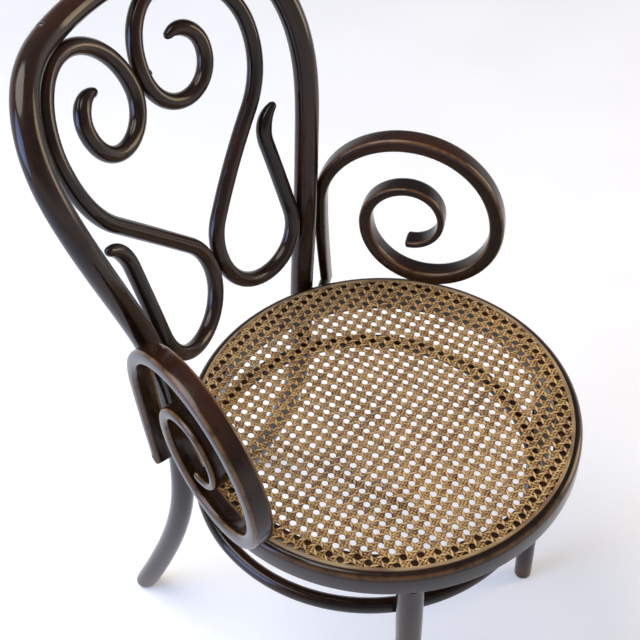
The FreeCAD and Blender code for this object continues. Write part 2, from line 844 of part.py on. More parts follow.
def leg_hoop_solid(stations=36, sides=12):
    """A closed ring of many-sided sections round the leg hoop's centre."""
    r = size("leg_hoop_diameter") / 2
    rings = []
    for k in range(stations):
        a = 2 * math.pi * k / stations
        outward = Vector(math.cos(a), math.sin(a), 0)
        section = []
        for j in range(sides + 1):
            b = 2 * math.pi * (j % sides) / sides
            middle = hoop_middle + outward * (leg_hoop_radius + r * math.cos(b))
            section.append(middle + Vector(0, 0, r * math.sin(b)))
        rings.append(Part.makePolygon(section))
    return Part.makeLoft(rings, True, True, True)


# Cane: one woven panel pressed into the groove; its mesh is drawn coarser than the real one

def round_wire(radius, level, sides=72):
    corners = []
    for k in range(sides + 1):
        a = 2 * math.pi * (k % sides) / sides
        corners.append(Vector(radius * math.cos(a), radius * math.sin(a), level))
    return Part.makePolygon(corners)


def cane_panel():
    groove_wall = groove_middle - size("groove_width") / 2
    lip_inner = groove_wall / math.cos(math.pi / 72) + 0.1
    lip_outer = groove_wall + size("cane_thickness") / 2 + play
    level = seat_top + 0.05
    pitch = size("cane_pitch")
    corner = size("cane_hole_width") / 2 / math.cos(math.pi / 6)
    clear = groove_wall - corner - 6
    rows = int(clear / pitch) + 1
    holes = []
    for i in range(-rows, rows + 1):
        for k in range(-rows, rows + 1):
            x, y = (i + 0.5) * pitch, (k + 0.5) * pitch
            if math.hypot(x, y) < clear:
                ring = []
                for n in range(7):
                    a = math.pi / 3 * (n % 6)
                    ring.append(Vector(x + corner * math.cos(a), y + corner * math.sin(a), level))
                holes.append(Part.makePolygon(ring))
    print("cane openings", len(holes))
    face = Part.Face([round_wire(lip_outer, level)] + holes)
    face.validate()
    panel = face.extrude(Vector(0, 0, size("cane_thickness") - 0.05))
    skirt_low = seat_top - size("groove_depth") + 0.6
    skirt_face = Part.Face([round_wire(lip_outer, skirt_low), round_wire(lip_inner, skirt_low)])
    skirt_face.validate()
    skirt = skirt_face.extrude(Vector(0, 0, level - skirt_low))
    return panel.fuse(skirt).removeSplitter()


# Finished pieces: blanks with their bores, laps and trims

pieces = {}


def keep(label, shape):
    """Puts a finished shape into the document under its name."""
    feature = doc.addObject("Part::Feature", label)
    feature.Label = label
    feature.Shape = shape
    pieces[label] = feature


def keep_cut(label, shape, cutters):
    cut = shape.cut(cutters)
    keep(label, max(cut.Solids, key=lambda solid: solid.Volume))


below_floor = Part.makeBox(2000, 2000, 100, Vector(-1000, -1000, -100))

foot_end = size("foot_rounding")


def foot_share(height):
    """Share of the full rod at a height over the floor: the foot is rounded off."""
    short = min(1.0, max(0.0, 1 - height / foot_end))
    return math.sqrt(1 - 0.55 * short * short)


foot_points = [p for p in right_hoop if -6 < p.z < 1.5 * foot_end]
above = [p for p in hoop_points if p.z >= 1.5 * foot_end]
hoop_kept = foot_points + thin_out(above, 12.0, 60.0) + [flip(p) for p in reversed(foot_points)]
hoop_blank = rod_solid(hoop_kept, [hoop_radius * foot_share(p.z) for p in hoop_kept])
keep_cut("back_hoop", hoop_blank, [below_floor] + stile_bores + crown_bores + rear_hoop_bores + coach_bores)

scroll_kept = thin_out(scroll_points, 20.0, 60.0)
scroll_blank = rod_solid(scroll_kept, tip_radii(scroll_kept, scroll_radius))
keep_cut("scroll_left", scroll_blank, stile_bores + crown_bores + pair_bores)
keep_cut("scroll_right", mirrored(scroll_blank), stile_bores + crown_bores + pair_bores)

# what the arms are trimmed to: the ring with a fit gap all round
envelope_radius = (ring_radius + size("fit_gap")) / math.cos(math.pi / 72)
envelope_low = ring_bottom - 20
ring_envelope = Part.Face(round_wire(envelope_radius, envelope_low))
ring_envelope = ring_envelope.extrude(Vector(0, 0, seat_top + size("fit_gap") - envelope_low))
arm_blank = arm_solid()
keep_cut("arm_left", arm_blank, [ring_envelope] + arm_rear_bores + arm_front_bores)
keep_cut("arm_right", mirrored(arm_blank), [ring_envelope] + arm_rear_bores + arm_front_bores)

ring_body = seat_ring()
ring_body.Visibility = False
keep_cut("seat_ring", ring_body.Shape, coach_bores + arm_rear_bores + arm_front_bores)
pieces["cane_spline"] = cane_spline()
keep("cane_webbing", cane_panel())
for label, side in (("front_leg_left", 1), ("front_leg_right", -1)):
    leg_body = front_leg(label + "_blank", side)
    leg_body.Visibility = False
    keep_cut(label, leg_body.Shape, front_hoop_bores)

keep_cut("leg_hoop", leg_hoop_solid(), rear_hoop_bores + front_hoop_bores)

spacer = prism(
    arm_screw_middle - arm_outward * (arm_half + size("fit_gap")), arm_screw_direction,
    size("spacer_diameter") / 2, arm_to_ring, 10)
spacer = spacer.cut([ring_envelope, screw_bore(*arm_rear_screw)])
keep("arm_rear_spacers", Part.makeCompound(both_sides(spacer.Solids[0])))

keep("scroll_stile_screws", Part.makeCompound(both_sides(screw(*stile_screw))))
keep("scroll_crown_screws", Part.makeCompound(both_sides(screw(*crown_screw))))
keep("scroll_pair_screws", Part.makeCompound([screw(*place) for place in pair_screws]))
keep("leg_hoop_rear_screws", Part.makeCompound(both_sides(screw(*rear_hoop_screw))))
keep("leg_hoop_front_screws", Part.makeCompound(both_sides(screw(*front_hoop_screw))))
keep("arm_rear_screws", Part.makeCompound(both_sides(screw(*arm_rear_screw))))
keep("arm_front_screws", Part.makeCompound(both_sides(screw(*arm_front_screw))))
keep("rear_leg_coach_screws", Part.makeCompound(both_sides(coach_screw())))
keep("rear_leg_washers", Part.makeCompound(both_sides(coach_washer())))


# The row's origin is the middle of the box on the floor: one shift along Y for every piece

back_most = max(v.Point.y for v in pieces["back_hoop"].Shape.Vertexes)
shift = -(back_most - ring_radius) / 2
print("shift along Y %.3f" % shift)
for piece in pieces.values():
    piece.Placement = FreeCAD.Placement(Vector(0, shift, 0), FreeCAD.Rotation())
doc.recompute()

# Everything is checked before any file is written

for thing in doc.Objects:
    if "Invalid" in thing.State or "Error" in thing.State:
        raise RuntimeError("%s did not build: %s" % (thing.Label, thing.State))
for name, piece in pieces.items():
    if piece.Shape.isNull() or not piece.Shape.isValid() or not piece.Shape.Solids:
        raise RuntimeError("%s has no valid solid" % name)

os.makedirs("parts", exist_ok=True)
for name, piece in pieces.items():
    box = piece.Shape.BoundBox
    piece.Shape.exportStep("parts/%s.step" % name)
    print("%-22s solids %d  faces %4d  x %7.1f %7.1f  y %7.1f %7.1f  z %7.1f %7.1f" % (
        name, len(piece.Shape.Solids), len(piece.Shape.Faces),
        box.XMin, box.XMax, box.YMin, box.YMax, box.ZMin, box.ZMax))
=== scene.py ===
# %% [markdown]
# # A bentwood armchair with a cane seat
#
# The chair is made of round rods and ribbons of beech, steamed and bent: one long hoop is the
# back frame and both rear legs, two scrolls fill it, two spiral ribbons are the arms. A turned
# ring carries woven cane. The frame gives us every piece at its true place and size. Here each
# bent piece is swept again with a finer section, from the same main dimensions but with
# slimmer tips on the scrolls, and gets its finish.

# %% Load the frame
import bpy
import numpy as np
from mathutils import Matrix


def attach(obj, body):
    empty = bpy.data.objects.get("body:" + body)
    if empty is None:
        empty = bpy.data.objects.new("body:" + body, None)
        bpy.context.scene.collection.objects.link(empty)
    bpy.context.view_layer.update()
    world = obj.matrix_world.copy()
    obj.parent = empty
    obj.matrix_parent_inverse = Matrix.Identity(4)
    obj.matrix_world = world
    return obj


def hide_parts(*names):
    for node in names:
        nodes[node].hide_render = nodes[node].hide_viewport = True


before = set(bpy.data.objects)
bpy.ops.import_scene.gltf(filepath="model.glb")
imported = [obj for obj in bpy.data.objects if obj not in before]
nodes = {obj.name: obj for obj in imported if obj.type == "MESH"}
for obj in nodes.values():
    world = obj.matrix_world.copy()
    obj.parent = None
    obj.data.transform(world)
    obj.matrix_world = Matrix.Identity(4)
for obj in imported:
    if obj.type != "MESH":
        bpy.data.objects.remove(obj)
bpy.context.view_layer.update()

print("pieces in the frame:", len(nodes))

# %% [markdown]
# ## Where the chair stands
#
# Blender works in metres, and a length in millimetres is multiplied by `mm`. The seat is
# round, so its middle is a good place to measure from. The frame's own origin is the middle
# of its box on the floor, a little further back, so the first thing read from the frame is
# how far the seat's middle lies before it.

# %% Read places from the frame
mm = 0.001


def node_points(name):
    """All corners of one node of the frame, as an array with a row per corner."""
    mesh = nodes[name].data
    flat = np.empty(3 * len(mesh.vertices))
    mesh.vertices.foreach_get("co", flat)
    return flat.reshape(-1, 3)


ring_corners = node_points("seat_ring")
seat_middle_y = 0.5 * (ring_corners[:, 1].min() + ring_corners[:, 1].max())
seat_top = 430 * mm
ring_radius = 221 * mm
ring_bottom = 400 * mm
fit_gap = 0.3 * mm
print("seat's middle lies %.1f mm before the origin" % (-1000 * seat_middle_y))

# %% [markdown]
# ## From arrays to meshes
#
# Every surface here is a grid: rows along the piece, columns round it. One helper turns such a
# grid into faces, another puts points and faces into a mesh. Extra values ride on the points.
# `wood_place` says where a point lies in the straight rod before it was bent, so the grain can
# run along the bend as in real bentwood. A second value says how worn the wood is there, and
# how much golden highlight is painted along its rounded edges.

# %% Mesh helpers
def grid_faces(rows, columns, closed_round=True, closed_along=False):
    """Four-cornered faces of a grid: point (r, c), its neighbour along, both one column on."""
    r = np.arange(rows if closed_along else rows - 1)[:, None]
    c = np.arange(columns if closed_round else columns - 1)[None, :]
    r_next = (r + 1) % rows
    c_next = (c + 1) % columns
    corners = [r * columns + c, r * columns + c_next, r_next * columns + c_next, r_next * columns + c]
    return np.stack([np.broadcast_to(k, (r.size, c.size)) for k in corners], axis=-1).reshape(-1, 4)


def fan(pole, ring, outward=1):
    """Three-cornered faces from one pole to every neighbouring pair of a ring's points."""
    after = np.roll(ring, -1)
    first, second = (ring, after) if outward > 0 else (after, ring)
    return np.stack([np.full(len(ring), pole), first, second], axis=-1)


def make_piece(name, points, quads, triangles=None, values=None, sharp=None):
    """Puts arrays into a mesh object that rides on the chair's only body."""
    triangles = np.empty((0, 3), int) if triangles is None else triangles
    mesh = bpy.data.meshes.new(name)
    mesh.vertices.add(len(points))
    mesh.vertices.foreach_set("co", np.ascontiguousarray(points, dtype=np.float32).ravel())
    corners = np.concatenate([quads.ravel(), triangles.ravel()])
    counts = np.concatenate([np.full(len(quads), 4), np.full(len(triangles), 3)])
    mesh.loops.add(len(corners))
    mesh.loops.foreach_set("vertex_index", corners.astype(np.int32))
    mesh.polygons.add(len(counts))
    mesh.polygons.foreach_set("loop_start", (np.cumsum(counts) - counts).astype(np.int32))
    mesh.update(calc_edges=True)
    mesh.validate()
    mesh.polygons.foreach_set("use_smooth", np.ones(len(mesh.polygons), bool))
    if sharp is not None:
        mesh.set_sharp_from_angle(angle=np.radians(sharp))
    for key, array in (values or {}).items():
        kind, field = ("FLOAT_VECTOR", "vector") if array.ndim == 2 else ("FLOAT", "value")
        layer = mesh.attributes.new(key, kind, "POINT")
        layer.data.foreach_set(field, np.ascontiguousarray(array, dtype=np.float32).ravel())
    piece = bpy.data.objects.new(name, mesh)
    bpy.context.scene.collection.objects.link(piece)
    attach(piece, "root")
    return piece


def dress(piece, finish):
    """Gives a piece its material."""
    piece.data.materials.clear()
    piece.data.materials.append(finish)


# %% [markdown]
# ## A finish from nodes
#
# Blender's shader nodes are little functions. A few short helpers keep the finishes readable:
# noise, a colour ramp, a mix of two colours, and sums. A value that is the same everywhere
# goes straight on the shader's socket, because only there does it survive an export.

# %% Node helpers
class Finish:
    """A material with its shader, and short words for the nodes that feed it."""

    def __init__(self, name):
        self.material = bpy.data.materials.new(name)
        self.material.use_nodes = True
        self.tree = self.material.node_tree
        self.shader = self.tree.nodes["Principled BSDF"]

    def add(self, kind, **settings):
        node = self.tree.nodes.new(kind)
        for key, value in settings.items():
            setattr(node, key, value)
        return node

    def join(self, source, target):
        self.tree.links.new(source, target)

    def object_place(self):
        return self.add("ShaderNodeTexCoord").outputs["Object"]

    def attribute(self, name, output="Fac"):
        return self.add("ShaderNodeAttribute", attribute_name=name).outputs[output]

    def stretched(self, place, scale):
        """Coordinates times one factor per axis."""
        node = self.add("ShaderNodeMapping")
        node.inputs["Scale"].default_value = scale
        self.join(place, node.inputs["Vector"])
        return node.outputs["Vector"]

    def noise(self, place, scale, detail=3.0, rough=0.55):
        node = self.add("ShaderNodeTexNoise")
        node.inputs["Scale"].default_value = scale
        node.inputs["Detail"].default_value = detail
        node.inputs["Roughness"].default_value = rough
        self.join(place, node.inputs["Vector"])
        return node.outputs["Fac"]

    def level(self, value, low, high, to_low=0.0, to_high=1.0):
        """Spreads a value from one range to another, held inside it, with soft ends."""
        node = self.add("ShaderNodeMapRange", interpolation_type="SMOOTHSTEP")
        limits = {"From Min": low, "From Max": high, "To Min": to_low, "To Max": to_high}
        for key, number in limits.items():
            node.inputs[key].default_value = number
        self.join(value, node.inputs["Value"])
        return node.outputs["Result"]

    def sums(self, operation, first, second):
        node = self.add("ShaderNodeMath", operation=operation)
        for socket, value in zip(node.inputs, (first, second)):
            if isinstance(value, (int, float)):
                socket.default_value = value
            else:
                self.join(value, socket)
        return node.outputs[0]

    def mixed(self, share, first, second, blend="MIX"):
        node = self.add("ShaderNodeMix", data_type="RGBA", blend_type=blend)
        if isinstance(share, (int, float)):
            node.inputs[0].default_value = share
        else:
            self.join(share, node.inputs[0])
        for socket, colour in ((node.inputs[6], first), (node.inputs[7], second)):
            if isinstance(colour, tuple):
                socket.default_value = colour + (1.0,)
            else:
                self.join(colour, socket)
        return node.outputs[2]

    def bump(self, height, strength, distance):
        node = self.add("ShaderNodeBump")
        node.inputs["Strength"].default_value = strength
        node.inputs["Distance"].default_value = distance
        self.join(height, node.inputs["Height"])
        self.join(node.outputs["Normal"], self.shader.inputs["Normal"])


# %% [markdown]
# ## Dark lacquered bentwood
#
# The wood is beech, stained almost black-brown and lacquered. Old lacquer is not one colour:
# long fine streaks of grain show through and broad patches are redder. Where hands and
# trousers rub, a golden brown comes up along the edges. On the arms' edges and the ring's rim
# the same golden brown is also a painted highlight, where the rounded edges catch the light.
# The lacquer is thin and a little soft, so it mirrors the lamps clearly and the pale room only
# faintly.

# %% Bentwood finish
def bentwood_finish():
    look = Finish("dark_bentwood")
    rod = look.attribute("wood_place", "Vector")
    streaks = look.noise(look.stretched(rod, (6.0, 240.0, 240.0)), 1.0, 5.0, 0.62)
    pores = look.noise(look.stretched(rod, (45.0, 1500.0, 1500.0)), 1.0, 2.0, 0.5)
    patches = look.noise(look.stretched(rod, (5.0, 30.0, 30.0)), 1.0, 3.0, 0.6)
    smudges = look.noise(look.object_place(), 70.0, 4.0, 0.65)
    dark = (0.0022, 0.0011, 0.0008)
    brown = (0.0105, 0.0040, 0.0020)
    red_brown = (0.046, 0.0135, 0.0055)
    gold_wear_and_highlight = (0.24, 0.112, 0.038)
    colour = look.mixed(look.level(streaks, 0.38, 0.66), dark, brown)
    colour = look.mixed(look.level(patches, 0.42, 0.74, 0.0, 0.6), colour, red_brown)
    # Golden brown along edges and towards the feet is wear. On the arms' edges and the ring's rim it is also
    # a painted highlight, where the rounded edge catches the light.
    wear_and_highlight_share = look.sums("MULTIPLY", look.attribute("wear_and_highlight"), look.level(smudges, 0.30, 0.55, 0.35, 1.0))
    colour = look.mixed(wear_and_highlight_share, colour, gold_wear_and_highlight)
    pore_mask = look.level(pores, 0.60, 0.70, 0.0, 0.5)
    colour = look.mixed(pore_mask, colour, (0.004, 0.003, 0.0025))
    look.join(colour, look.shader.inputs["Base Color"])
    look.join(look.level(smudges, 0.3, 0.7, 0.11, 0.22), look.shader.inputs["Roughness"])
    look.shader.inputs["IOR"].default_value = 1.42
    look.bump(look.sums("ADD", streaks, look.sums("MULTIPLY", pores, 0.4)), 0.22, 0.2 * mm)
    return look.material


bentwood = bentwood_finish()

# %% [markdown]
# ## Cane, reed and steel
#
# Cane is the shiny bark of rattan, split into ribbons. Each ribbon has its own tone, from
# straw to brown, and lies under clouds of dark red-brown stain, a little stronger towards
# the middle, where people sit. Where a strand dips under a crossing one it is painted dark,
# as painted shade, and the tops of its crests are painted pale, as painted highlight. The reed
# spline round the edge is rattan's inner wood, duller and rougher. Screws are plain steel,
# browned with age.

# %% Cane, reed and steel finishes
def cane_finish():
    look = Finish("cane")
    place = look.object_place()
    tone = look.attribute("tone")
    strand = look.attribute("wood_place", "Vector")
    fibres = look.noise(look.stretched(strand, (60.0, 2500.0, 400.0)), 1.0, 3.0)
    clouds = look.noise(look.stretched(place, (14.0, 9.0, 9.0)), 1.0, 4.0, 0.62)
    crest = look.attribute("crest")
    mottle = look.noise(look.stretched(strand, (110.0, 90.0, 40.0)), 1.0, 3.0, 0.7)
    shade = look.level(look.sums("ADD", mottle, look.sums("MULTIPLY", tone, 0.3)), 0.45, 0.85)
    colour = look.mixed(shade, (0.76, 0.45, 0.145), (0.21, 0.072, 0.014))
    wear_and_highlight_share = look.attribute("sat_on")
    stain = look.level(look.sums("ADD", clouds, look.sums("MULTIPLY", wear_and_highlight_share, 0.10)), 0.48, 0.72)
    stain = look.sums("MULTIPLY", stain, look.level(tone, 0.0, 1.0, 0.25, 0.85))
    colour = look.mixed(stain, colour, (0.115, 0.036, 0.012))
    colour = look.mixed(look.level(fibres, 0.45, 0.66, 0.0, 0.6), colour, (0.17, 0.075, 0.026))
    # Painted shade: the lower a point of a strand lies, where it dips under a crossing strand, the darker it
    # is painted. Painted highlight: the tops of the crests are painted pale.
    colour = look.mixed(look.level(crest, -0.25, 0.36, 0.97, 0.0), colour, (0.030, 0.011, 0.004))
    colour = look.mixed(look.level(crest, 0.34, 0.62, 0.0, 0.6), colour, (0.90, 0.68, 0.38))
    look.join(colour, look.shader.inputs["Base Color"])
    look.join(look.level(clouds, 0.3, 0.7, 0.3, 0.45), look.shader.inputs["Roughness"])
    look.shader.inputs["IOR"].default_value = 1.3
    look.bump(fibres, 0.4, 0.12 * mm)
    return look.material


def reed_finish():
    look = Finish("reed_spline")
    rod = look.attribute("wood_place", "Vector")
    fibres = look.noise(look.stretched(rod, (30.0, 1400.0, 1400.0)), 1.0, 4.0)
    clouds = look.noise(look.object_place(), 22.0, 3.0)
    colour = look.mixed(look.level(fibres, 0.35, 0.7), (0.46, 0.31, 0.145), (0.27, 0.15, 0.06))
    colour = look.mixed(look.level(clouds, 0.45, 0.7, 0.0, 0.75), colour, (0.13, 0.065, 0.03))
    look.join(colour, look.shader.inputs["Base Color"])
    look.join(look.level(clouds, 0.3, 0.7, 0.4, 0.6), look.shader.inputs["Roughness"])
    look.bump(fibres, 0.4, 0.15 * mm)
    return look.material


def steel_finish():
    look = Finish("screw_steel")
    place = look.object_place()
    spots = look.noise(place, 900.0, 4.0, 0.6)
    colour = look.mixed(look.level(spots, 0.48, 0.68), (0.13, 0.115, 0.10), (0.045, 0.028, 0.018))
    look.join(colour, look.shader.inputs["Base Color"])
    look.join(look.level(spots, 0.4, 0.7, 0.35, 0.7), look.shader.inputs["Roughness"])
    look.shader.inputs["Metallic"].default_value = 0.9
    look.bump(spots, 0.3, 0.05 * mm)
    return look.material


cane = cane_finish()
reed = reed_finish()
steel = steel_finish()

# %% [markdown]
# ## Sweeping a section along a bend
#
# A bent rod is a path and a section square to it. The section needs a direction to start
# from. Each of these bends keeps clear of one direction all the way, so that direction, made
# square to the path, is a steady start: no twist builds up and no step-by-step loop is
# needed. The ends are closed by fans, and on scrolls and arms the last few rows are drawn in
# to a rounded tip.

# %% Path helpers
def unit(vectors):
    return vectors / np.linalg.norm(vectors, axis=-1, keepdims=True)


def lengths_along(points):
    """Distance from the first point, measured along the path."""
    return np.concatenate([[0.0], np.cumsum(np.linalg.norm(np.diff(points, axis=0), axis=1))])


def resampled(points, step, tip=0.0, extra=None):
    """The same path in even steps, with closer ones inside each rounded tip."""
    travelled = lengths_along(points)
    total = travelled[-1]
    places = np.linspace(0.0, total, int(total / step) + 1)
    if tip > 0:
        swing = np.radians(np.arange(12, 90, 11))
        near = tip * (1 - np.cos(swing))
        inner = places[(places > tip) & (places < total - tip)]
        places = np.concatenate([near, inner, total - near[::-1]])
    columns = [points] if extra is None else [points, extra[:, None]]
    table = np.hstack(columns)
    return np.stack([np.interp(places, travelled, column) for column in table.T], axis=1), places, total


def tip_share(places, total, tip):
    """Circle quarter at each end: the share is sin(a) where the way from the end is tip (1 - cos a)."""
    way = np.minimum(places, total - places)
    inside = np.clip(1 - way / tip, 0.0, 1.0)
    return np.sqrt(np.maximum(1 - inside ** 2, 1e-4))


def section_frame(points, reference, tangents=None):
    """Tangent, the reference made square to it, and the direction square to both."""
    t = unit(np.gradient(points, axis=0)) if tangents is None else unit(tangents)
    n = unit(reference - t * np.sum(t * reference, axis=1, keepdims=True))
    return t, n, np.cross(t, n)


def swept(points, places, half_n, half_b, frames, sides=24, power=2.0):
    """Path plus n a + b c, where a, c run round |a/half_n|^power + |c/half_b|^power = 1."""
    t, n, b = frames
    angle = 2 * np.pi * np.arange(sides) / sides
    a = np.sign(np.cos(angle)) * np.abs(np.cos(angle)) ** (2 / power)
    c = np.sign(np.sin(angle)) * np.abs(np.sin(angle)) ** (2 / power)
    a = half_n[:, None] * a[None, :]
    c = half_b[:, None] * c[None, :]
    surface = points[:, None, :] + n[:, None, :] * a[..., None] + b[:, None, :] * c[..., None]
    place = np.stack([np.broadcast_to(places[:, None], a.shape), a, c], axis=-1)
    return surface, place


def closed_tube(surface, place, ends):
    """Points, quads and fans of a tube with a pole beyond each end."""
    rows, sides = surface.shape[:2]
    points = np.concatenate([surface.reshape(-1, 3), ends])
    end_place = np.stack([place[0].mean(axis=0), place[-1].mean(axis=0)])
    places = np.concatenate([place.reshape(-1, 3), end_place])
    quads = grid_faces(rows, sides)
    ring = np.arange(sides)
    first = fan(rows * sides, ring, outward=-1)
    last = fan(rows * sides + 1, ring + (rows - 1) * sides, outward=1)
    return points, quads, np.concatenate([first, last]), places


def mirrored(points, quads, triangles):
    """The other side of the chair: x changes sign, and faces turn so they still look outwards."""
    return points * np.array([-1.0, 1.0, 1.0]), quads[:, ::-1], triangles[:, ::-1]


# %% [markdown]
# ## The back hoop
#
# One rod, as thick as a broom handle, starts at the floor, climbs as a rear leg, is screwed to
# the seat ring, swells outwards to the shoulders and comes down again as the other leg. A
# bender would clamp it to an iron strap; we put a smooth cubic curve through the places where
# such a strap would hold it. Its foot is cut level with the floor and its edge is rounded.

# %% Stations of the hoop
hoop_radius = 14 * mm
joint_angle = np.radians(33.3)
joint = (ring_radius + fit_gap + hoop_radius) * np.array([np.sin(joint_angle), np.cos(joint_angle)])
crown_height = 861 * mm
crown_back = 134.8 * mm


def station(out, back, height):
    """A place measured sideways and rearwards from the joint with the ring."""
    return [joint[0] + out * mm, joint[1] + back * mm, height]


hoop_side = np.array([
    station(-2.2, 118.7, -14 * mm),
    station(-1.2, 54.3, 127 * mm),
    station(-1.2, 8.3, 280 * mm),
    [joint[0], joint[1], 415 * mm],
    station(10.3, -2.2, 519 * mm),
    station(34.8, 6.9, 621 * mm),
    station(61.8, 29.3, crown_height - 128 * mm),
    station(54.3, 67.3, crown_height - 51 * mm),
    station(19.5, 98.3, crown_height - 14 * mm),
    station(-51.2, 128.3, crown_height - 3.5 * mm),
])
crown = np.array([[0.0, joint[1] + crown_back, crown_height]])
hoop_stations = np.concatenate([hoop_side, crown, hoop_side[::-1] * np.array([-1.0, 1.0, 1.0])])


# %% A smooth curve through stations
def smooth_curve(stations, samples):
    """Cubic pieces between stations whose slopes and bends agree where they meet.

    The slopes m solve m[i-1]/h + 2 m[i] (1/h + 1/k) + m[i+1]/k = 3 (rise before/h^2 + rise
    after/k^2), with h and k the distances to the neighbours. The end slopes are those of the
    cubic through the four stations at that end.
    """
    h = np.linalg.norm(np.diff(stations, axis=0), axis=1)
    knots = np.concatenate([[0.0], np.cumsum(h)])
    rise = np.diff(stations, axis=0)
    matrix = np.eye(len(stations))
    right = np.zeros_like(stations)
    inner = np.arange(1, len(stations) - 1)
    matrix[inner, inner - 1] = 1 / h[:-1]
    matrix[inner, inner] = 2 * (1 / h[:-1] + 1 / h[1:])
    matrix[inner, inner + 1] = 1 / h[1:]
    right[inner] = 3 * (rise[:-1] / h[:-1, None] ** 2 + rise[1:] / h[1:, None] ** 2)
    right[0] = np.polyfit(knots[:4], stations[:4], 3)[2]
    right[-1] = np.polyfit(knots[-4:] - knots[-1], stations[-4:], 3)[2]
    slopes = np.linalg.solve(matrix, right)
    t = np.linspace(0.0, knots[-1], samples)
    i = np.clip(np.searchsorted(knots, t, side="right") - 1, 0, len(h) - 1)
    u = ((t - knots[i]) / h[i])[:, None]
    return (stations[i] * (2 * u ** 3 - 3 * u ** 2 + 1) + stations[i + 1] * (3 * u ** 2 - 2 * u ** 3)
            + h[i][:, None] * (slopes[i] * (u ** 3 - 2 * u ** 2 + u) + slopes[i + 1] * (u ** 3 - u ** 2)))


hoop_line = smooth_curve(hoop_stations, 5000)
hoop_line = hoop_line[hoop_line[:, 2] > 0]
hoop_line[[0, -1], 2] = 0.0
print("hoop rod is %.2f m long" % lengths_along(hoop_line)[-1])

# %% Bend the hoop
def to_frame(points):
    """From the seat's middle to the frame's origin."""
    return points + np.array([0.0, seat_middle_y, 0.0])


def back_hoop():
    path, places, total = resampled(hoop_line, 4 * mm)
    near_foot = np.linspace(0, 1, 9)[1:-1] * 9 * mm
    low = np.stack([np.interp(near_foot, path[:40, 2], path[:40, k]) for k in range(3)], axis=1)
    high = low[::-1] * np.array([-1.0, 1.0, 1.0])
    body = path[1:-1]
    body = body[body[:, 2] > 10 * mm]
    path = np.concatenate([path[:1], low, body, high, path[-1:]])
    places = lengths_along(path)
    rising = np.where(np.arange(len(path)) < len(path) / 2, 1.0, -1.0)
    level = np.clip(1 - path[:, 2] / (45 * mm), 0.0, 1.0)[:, None] ** 2
    tangents = unit(np.gradient(path, axis=0))
    tangents = tangents * (1 - level) + np.array([0.0, 0.0, 1.0]) * rising[:, None] * level
    short = np.clip(1 - path[:, 2] / (9 * mm), 0.0, 1.0)
    radius = hoop_radius * np.sqrt(1 - 0.55 * short ** 2)
    frames = section_frame(path, np.array([0.0, 1.0, 0.0]), tangents)
    surface, place = swept(path, places, radius, radius, frames, sides=28)
    points, quads, triangles, places = closed_tube(surface, place, path[[0, -1]])
    heights = points[:, 2]
    wear_and_highlight = 0.04 + 0.35 * np.clip(1 - heights / (60 * mm), 0, 1)
    piece = make_piece("back_hoop_bent", to_frame(points), quads, triangles,
                       {"wood_place": places, "wear_and_highlight": wear_and_highlight}, sharp=50)
    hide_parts("back_hoop")
    dress(piece, bentwood)
    return piece


back_hoop()

# %% [markdown]
# ## The two scrolls
#
# Each scroll is a thinner rod. Seen from the front it is a chain of arcs and straight runs
# that meet without a kink: a tight eye, two widening half turns that form the volute, a long
# shoulder, a straight slant, the lower loop that touches the stile, a straight rise, and a
# tail that flares outwards. The drawing is then laid on the leaning, hollow surface of the
# back. Both tips thin out.

# %% Scroll drawing in the front view
scroll_radius = 9.2 * mm
middle_gap = scroll_radius + fit_gap / 2
volute_height = 763.87 * mm
outer_turn = 70.6 * mm
inner_turn = 42 * mm
eye_turn = 24 * mm
loop_turn = 55.66 * mm
loop_drop = 213.9 * mm
shoulder_turn = 0.566 * loop_drop
tail_rise = 84 * mm
tail_turn = 40 * mm


def arc(middle_x, middle_z, radius, start, end, step=1.0):
    """Middle plus radius times (cos, sin) of angles from start to end, in degrees."""
    angle = np.radians(np.arange(start, end, step if end > start else -step))
    return np.stack([middle_x + radius * np.cos(angle), middle_z + radius * np.sin(angle)], axis=1)


def scroll_drawing():
    shoulder_x = middle_gap + 2 * outer_turn - shoulder_turn
    loop_x = middle_gap + loop_turn
    loop_z = volute_height - loop_drop
    across, down = loop_x - shoulder_x, loop_z - volute_height
    leave = np.arctan2(down, across) + np.arccos((shoulder_turn + loop_turn) / np.hypot(across, down))
    away = np.array([np.cos(leave), np.sin(leave)])
    slant_start = np.array([shoulder_x, volute_height]) + shoulder_turn * away
    slant_end = np.array([loop_x, loop_z]) - loop_turn * away
    along = np.linspace(0, 1, 60, endpoint=False)[:, None]
    tail_x = loop_x + loop_turn
    tail_z = loop_z + tail_rise
    up = np.linspace(0, 1, 40, endpoint=False)[:, None]
    leave = np.degrees(leave)
    return np.concatenate([
        arc(middle_gap + 2 * inner_turn - eye_turn, volute_height, eye_turn, 125, 0),
        arc(middle_gap + inner_turn, volute_height, inner_turn, 360, 180),
        arc(middle_gap + outer_turn, volute_height, outer_turn, 180, 0),
        arc(shoulder_x, volute_height, shoulder_turn, 0, leave),
        slant_start + (slant_end - slant_start) * along,
        arc(loop_x, loop_z, loop_turn, leave + 180, 360),
        np.array([tail_x, loop_z]) + np.array([0.0, tail_rise]) * up,
        arc(tail_x + tail_turn, tail_z, tail_turn, 180, 108),
    ])


scroll_behind_crown = 7.4 * mm
scroll_forward = 10.7 * mm
scroll_sweep = 40.9 * mm
scroll_hollow = 29.5 * mm


def back_surface(x, height):
    """Setback y0 + a u + b u^2 - c w^2: u is height over the seat, w the place across."""
    u = (height - seat_top) / (crown_height - seat_top)
    w = x / (middle_gap + 2 * outer_turn)
    straight = crown_back + scroll_behind_crown + scroll_forward - scroll_sweep
    return joint[1] - scroll_forward + straight * u + scroll_sweep * u ** 2 - scroll_hollow * w ** 2


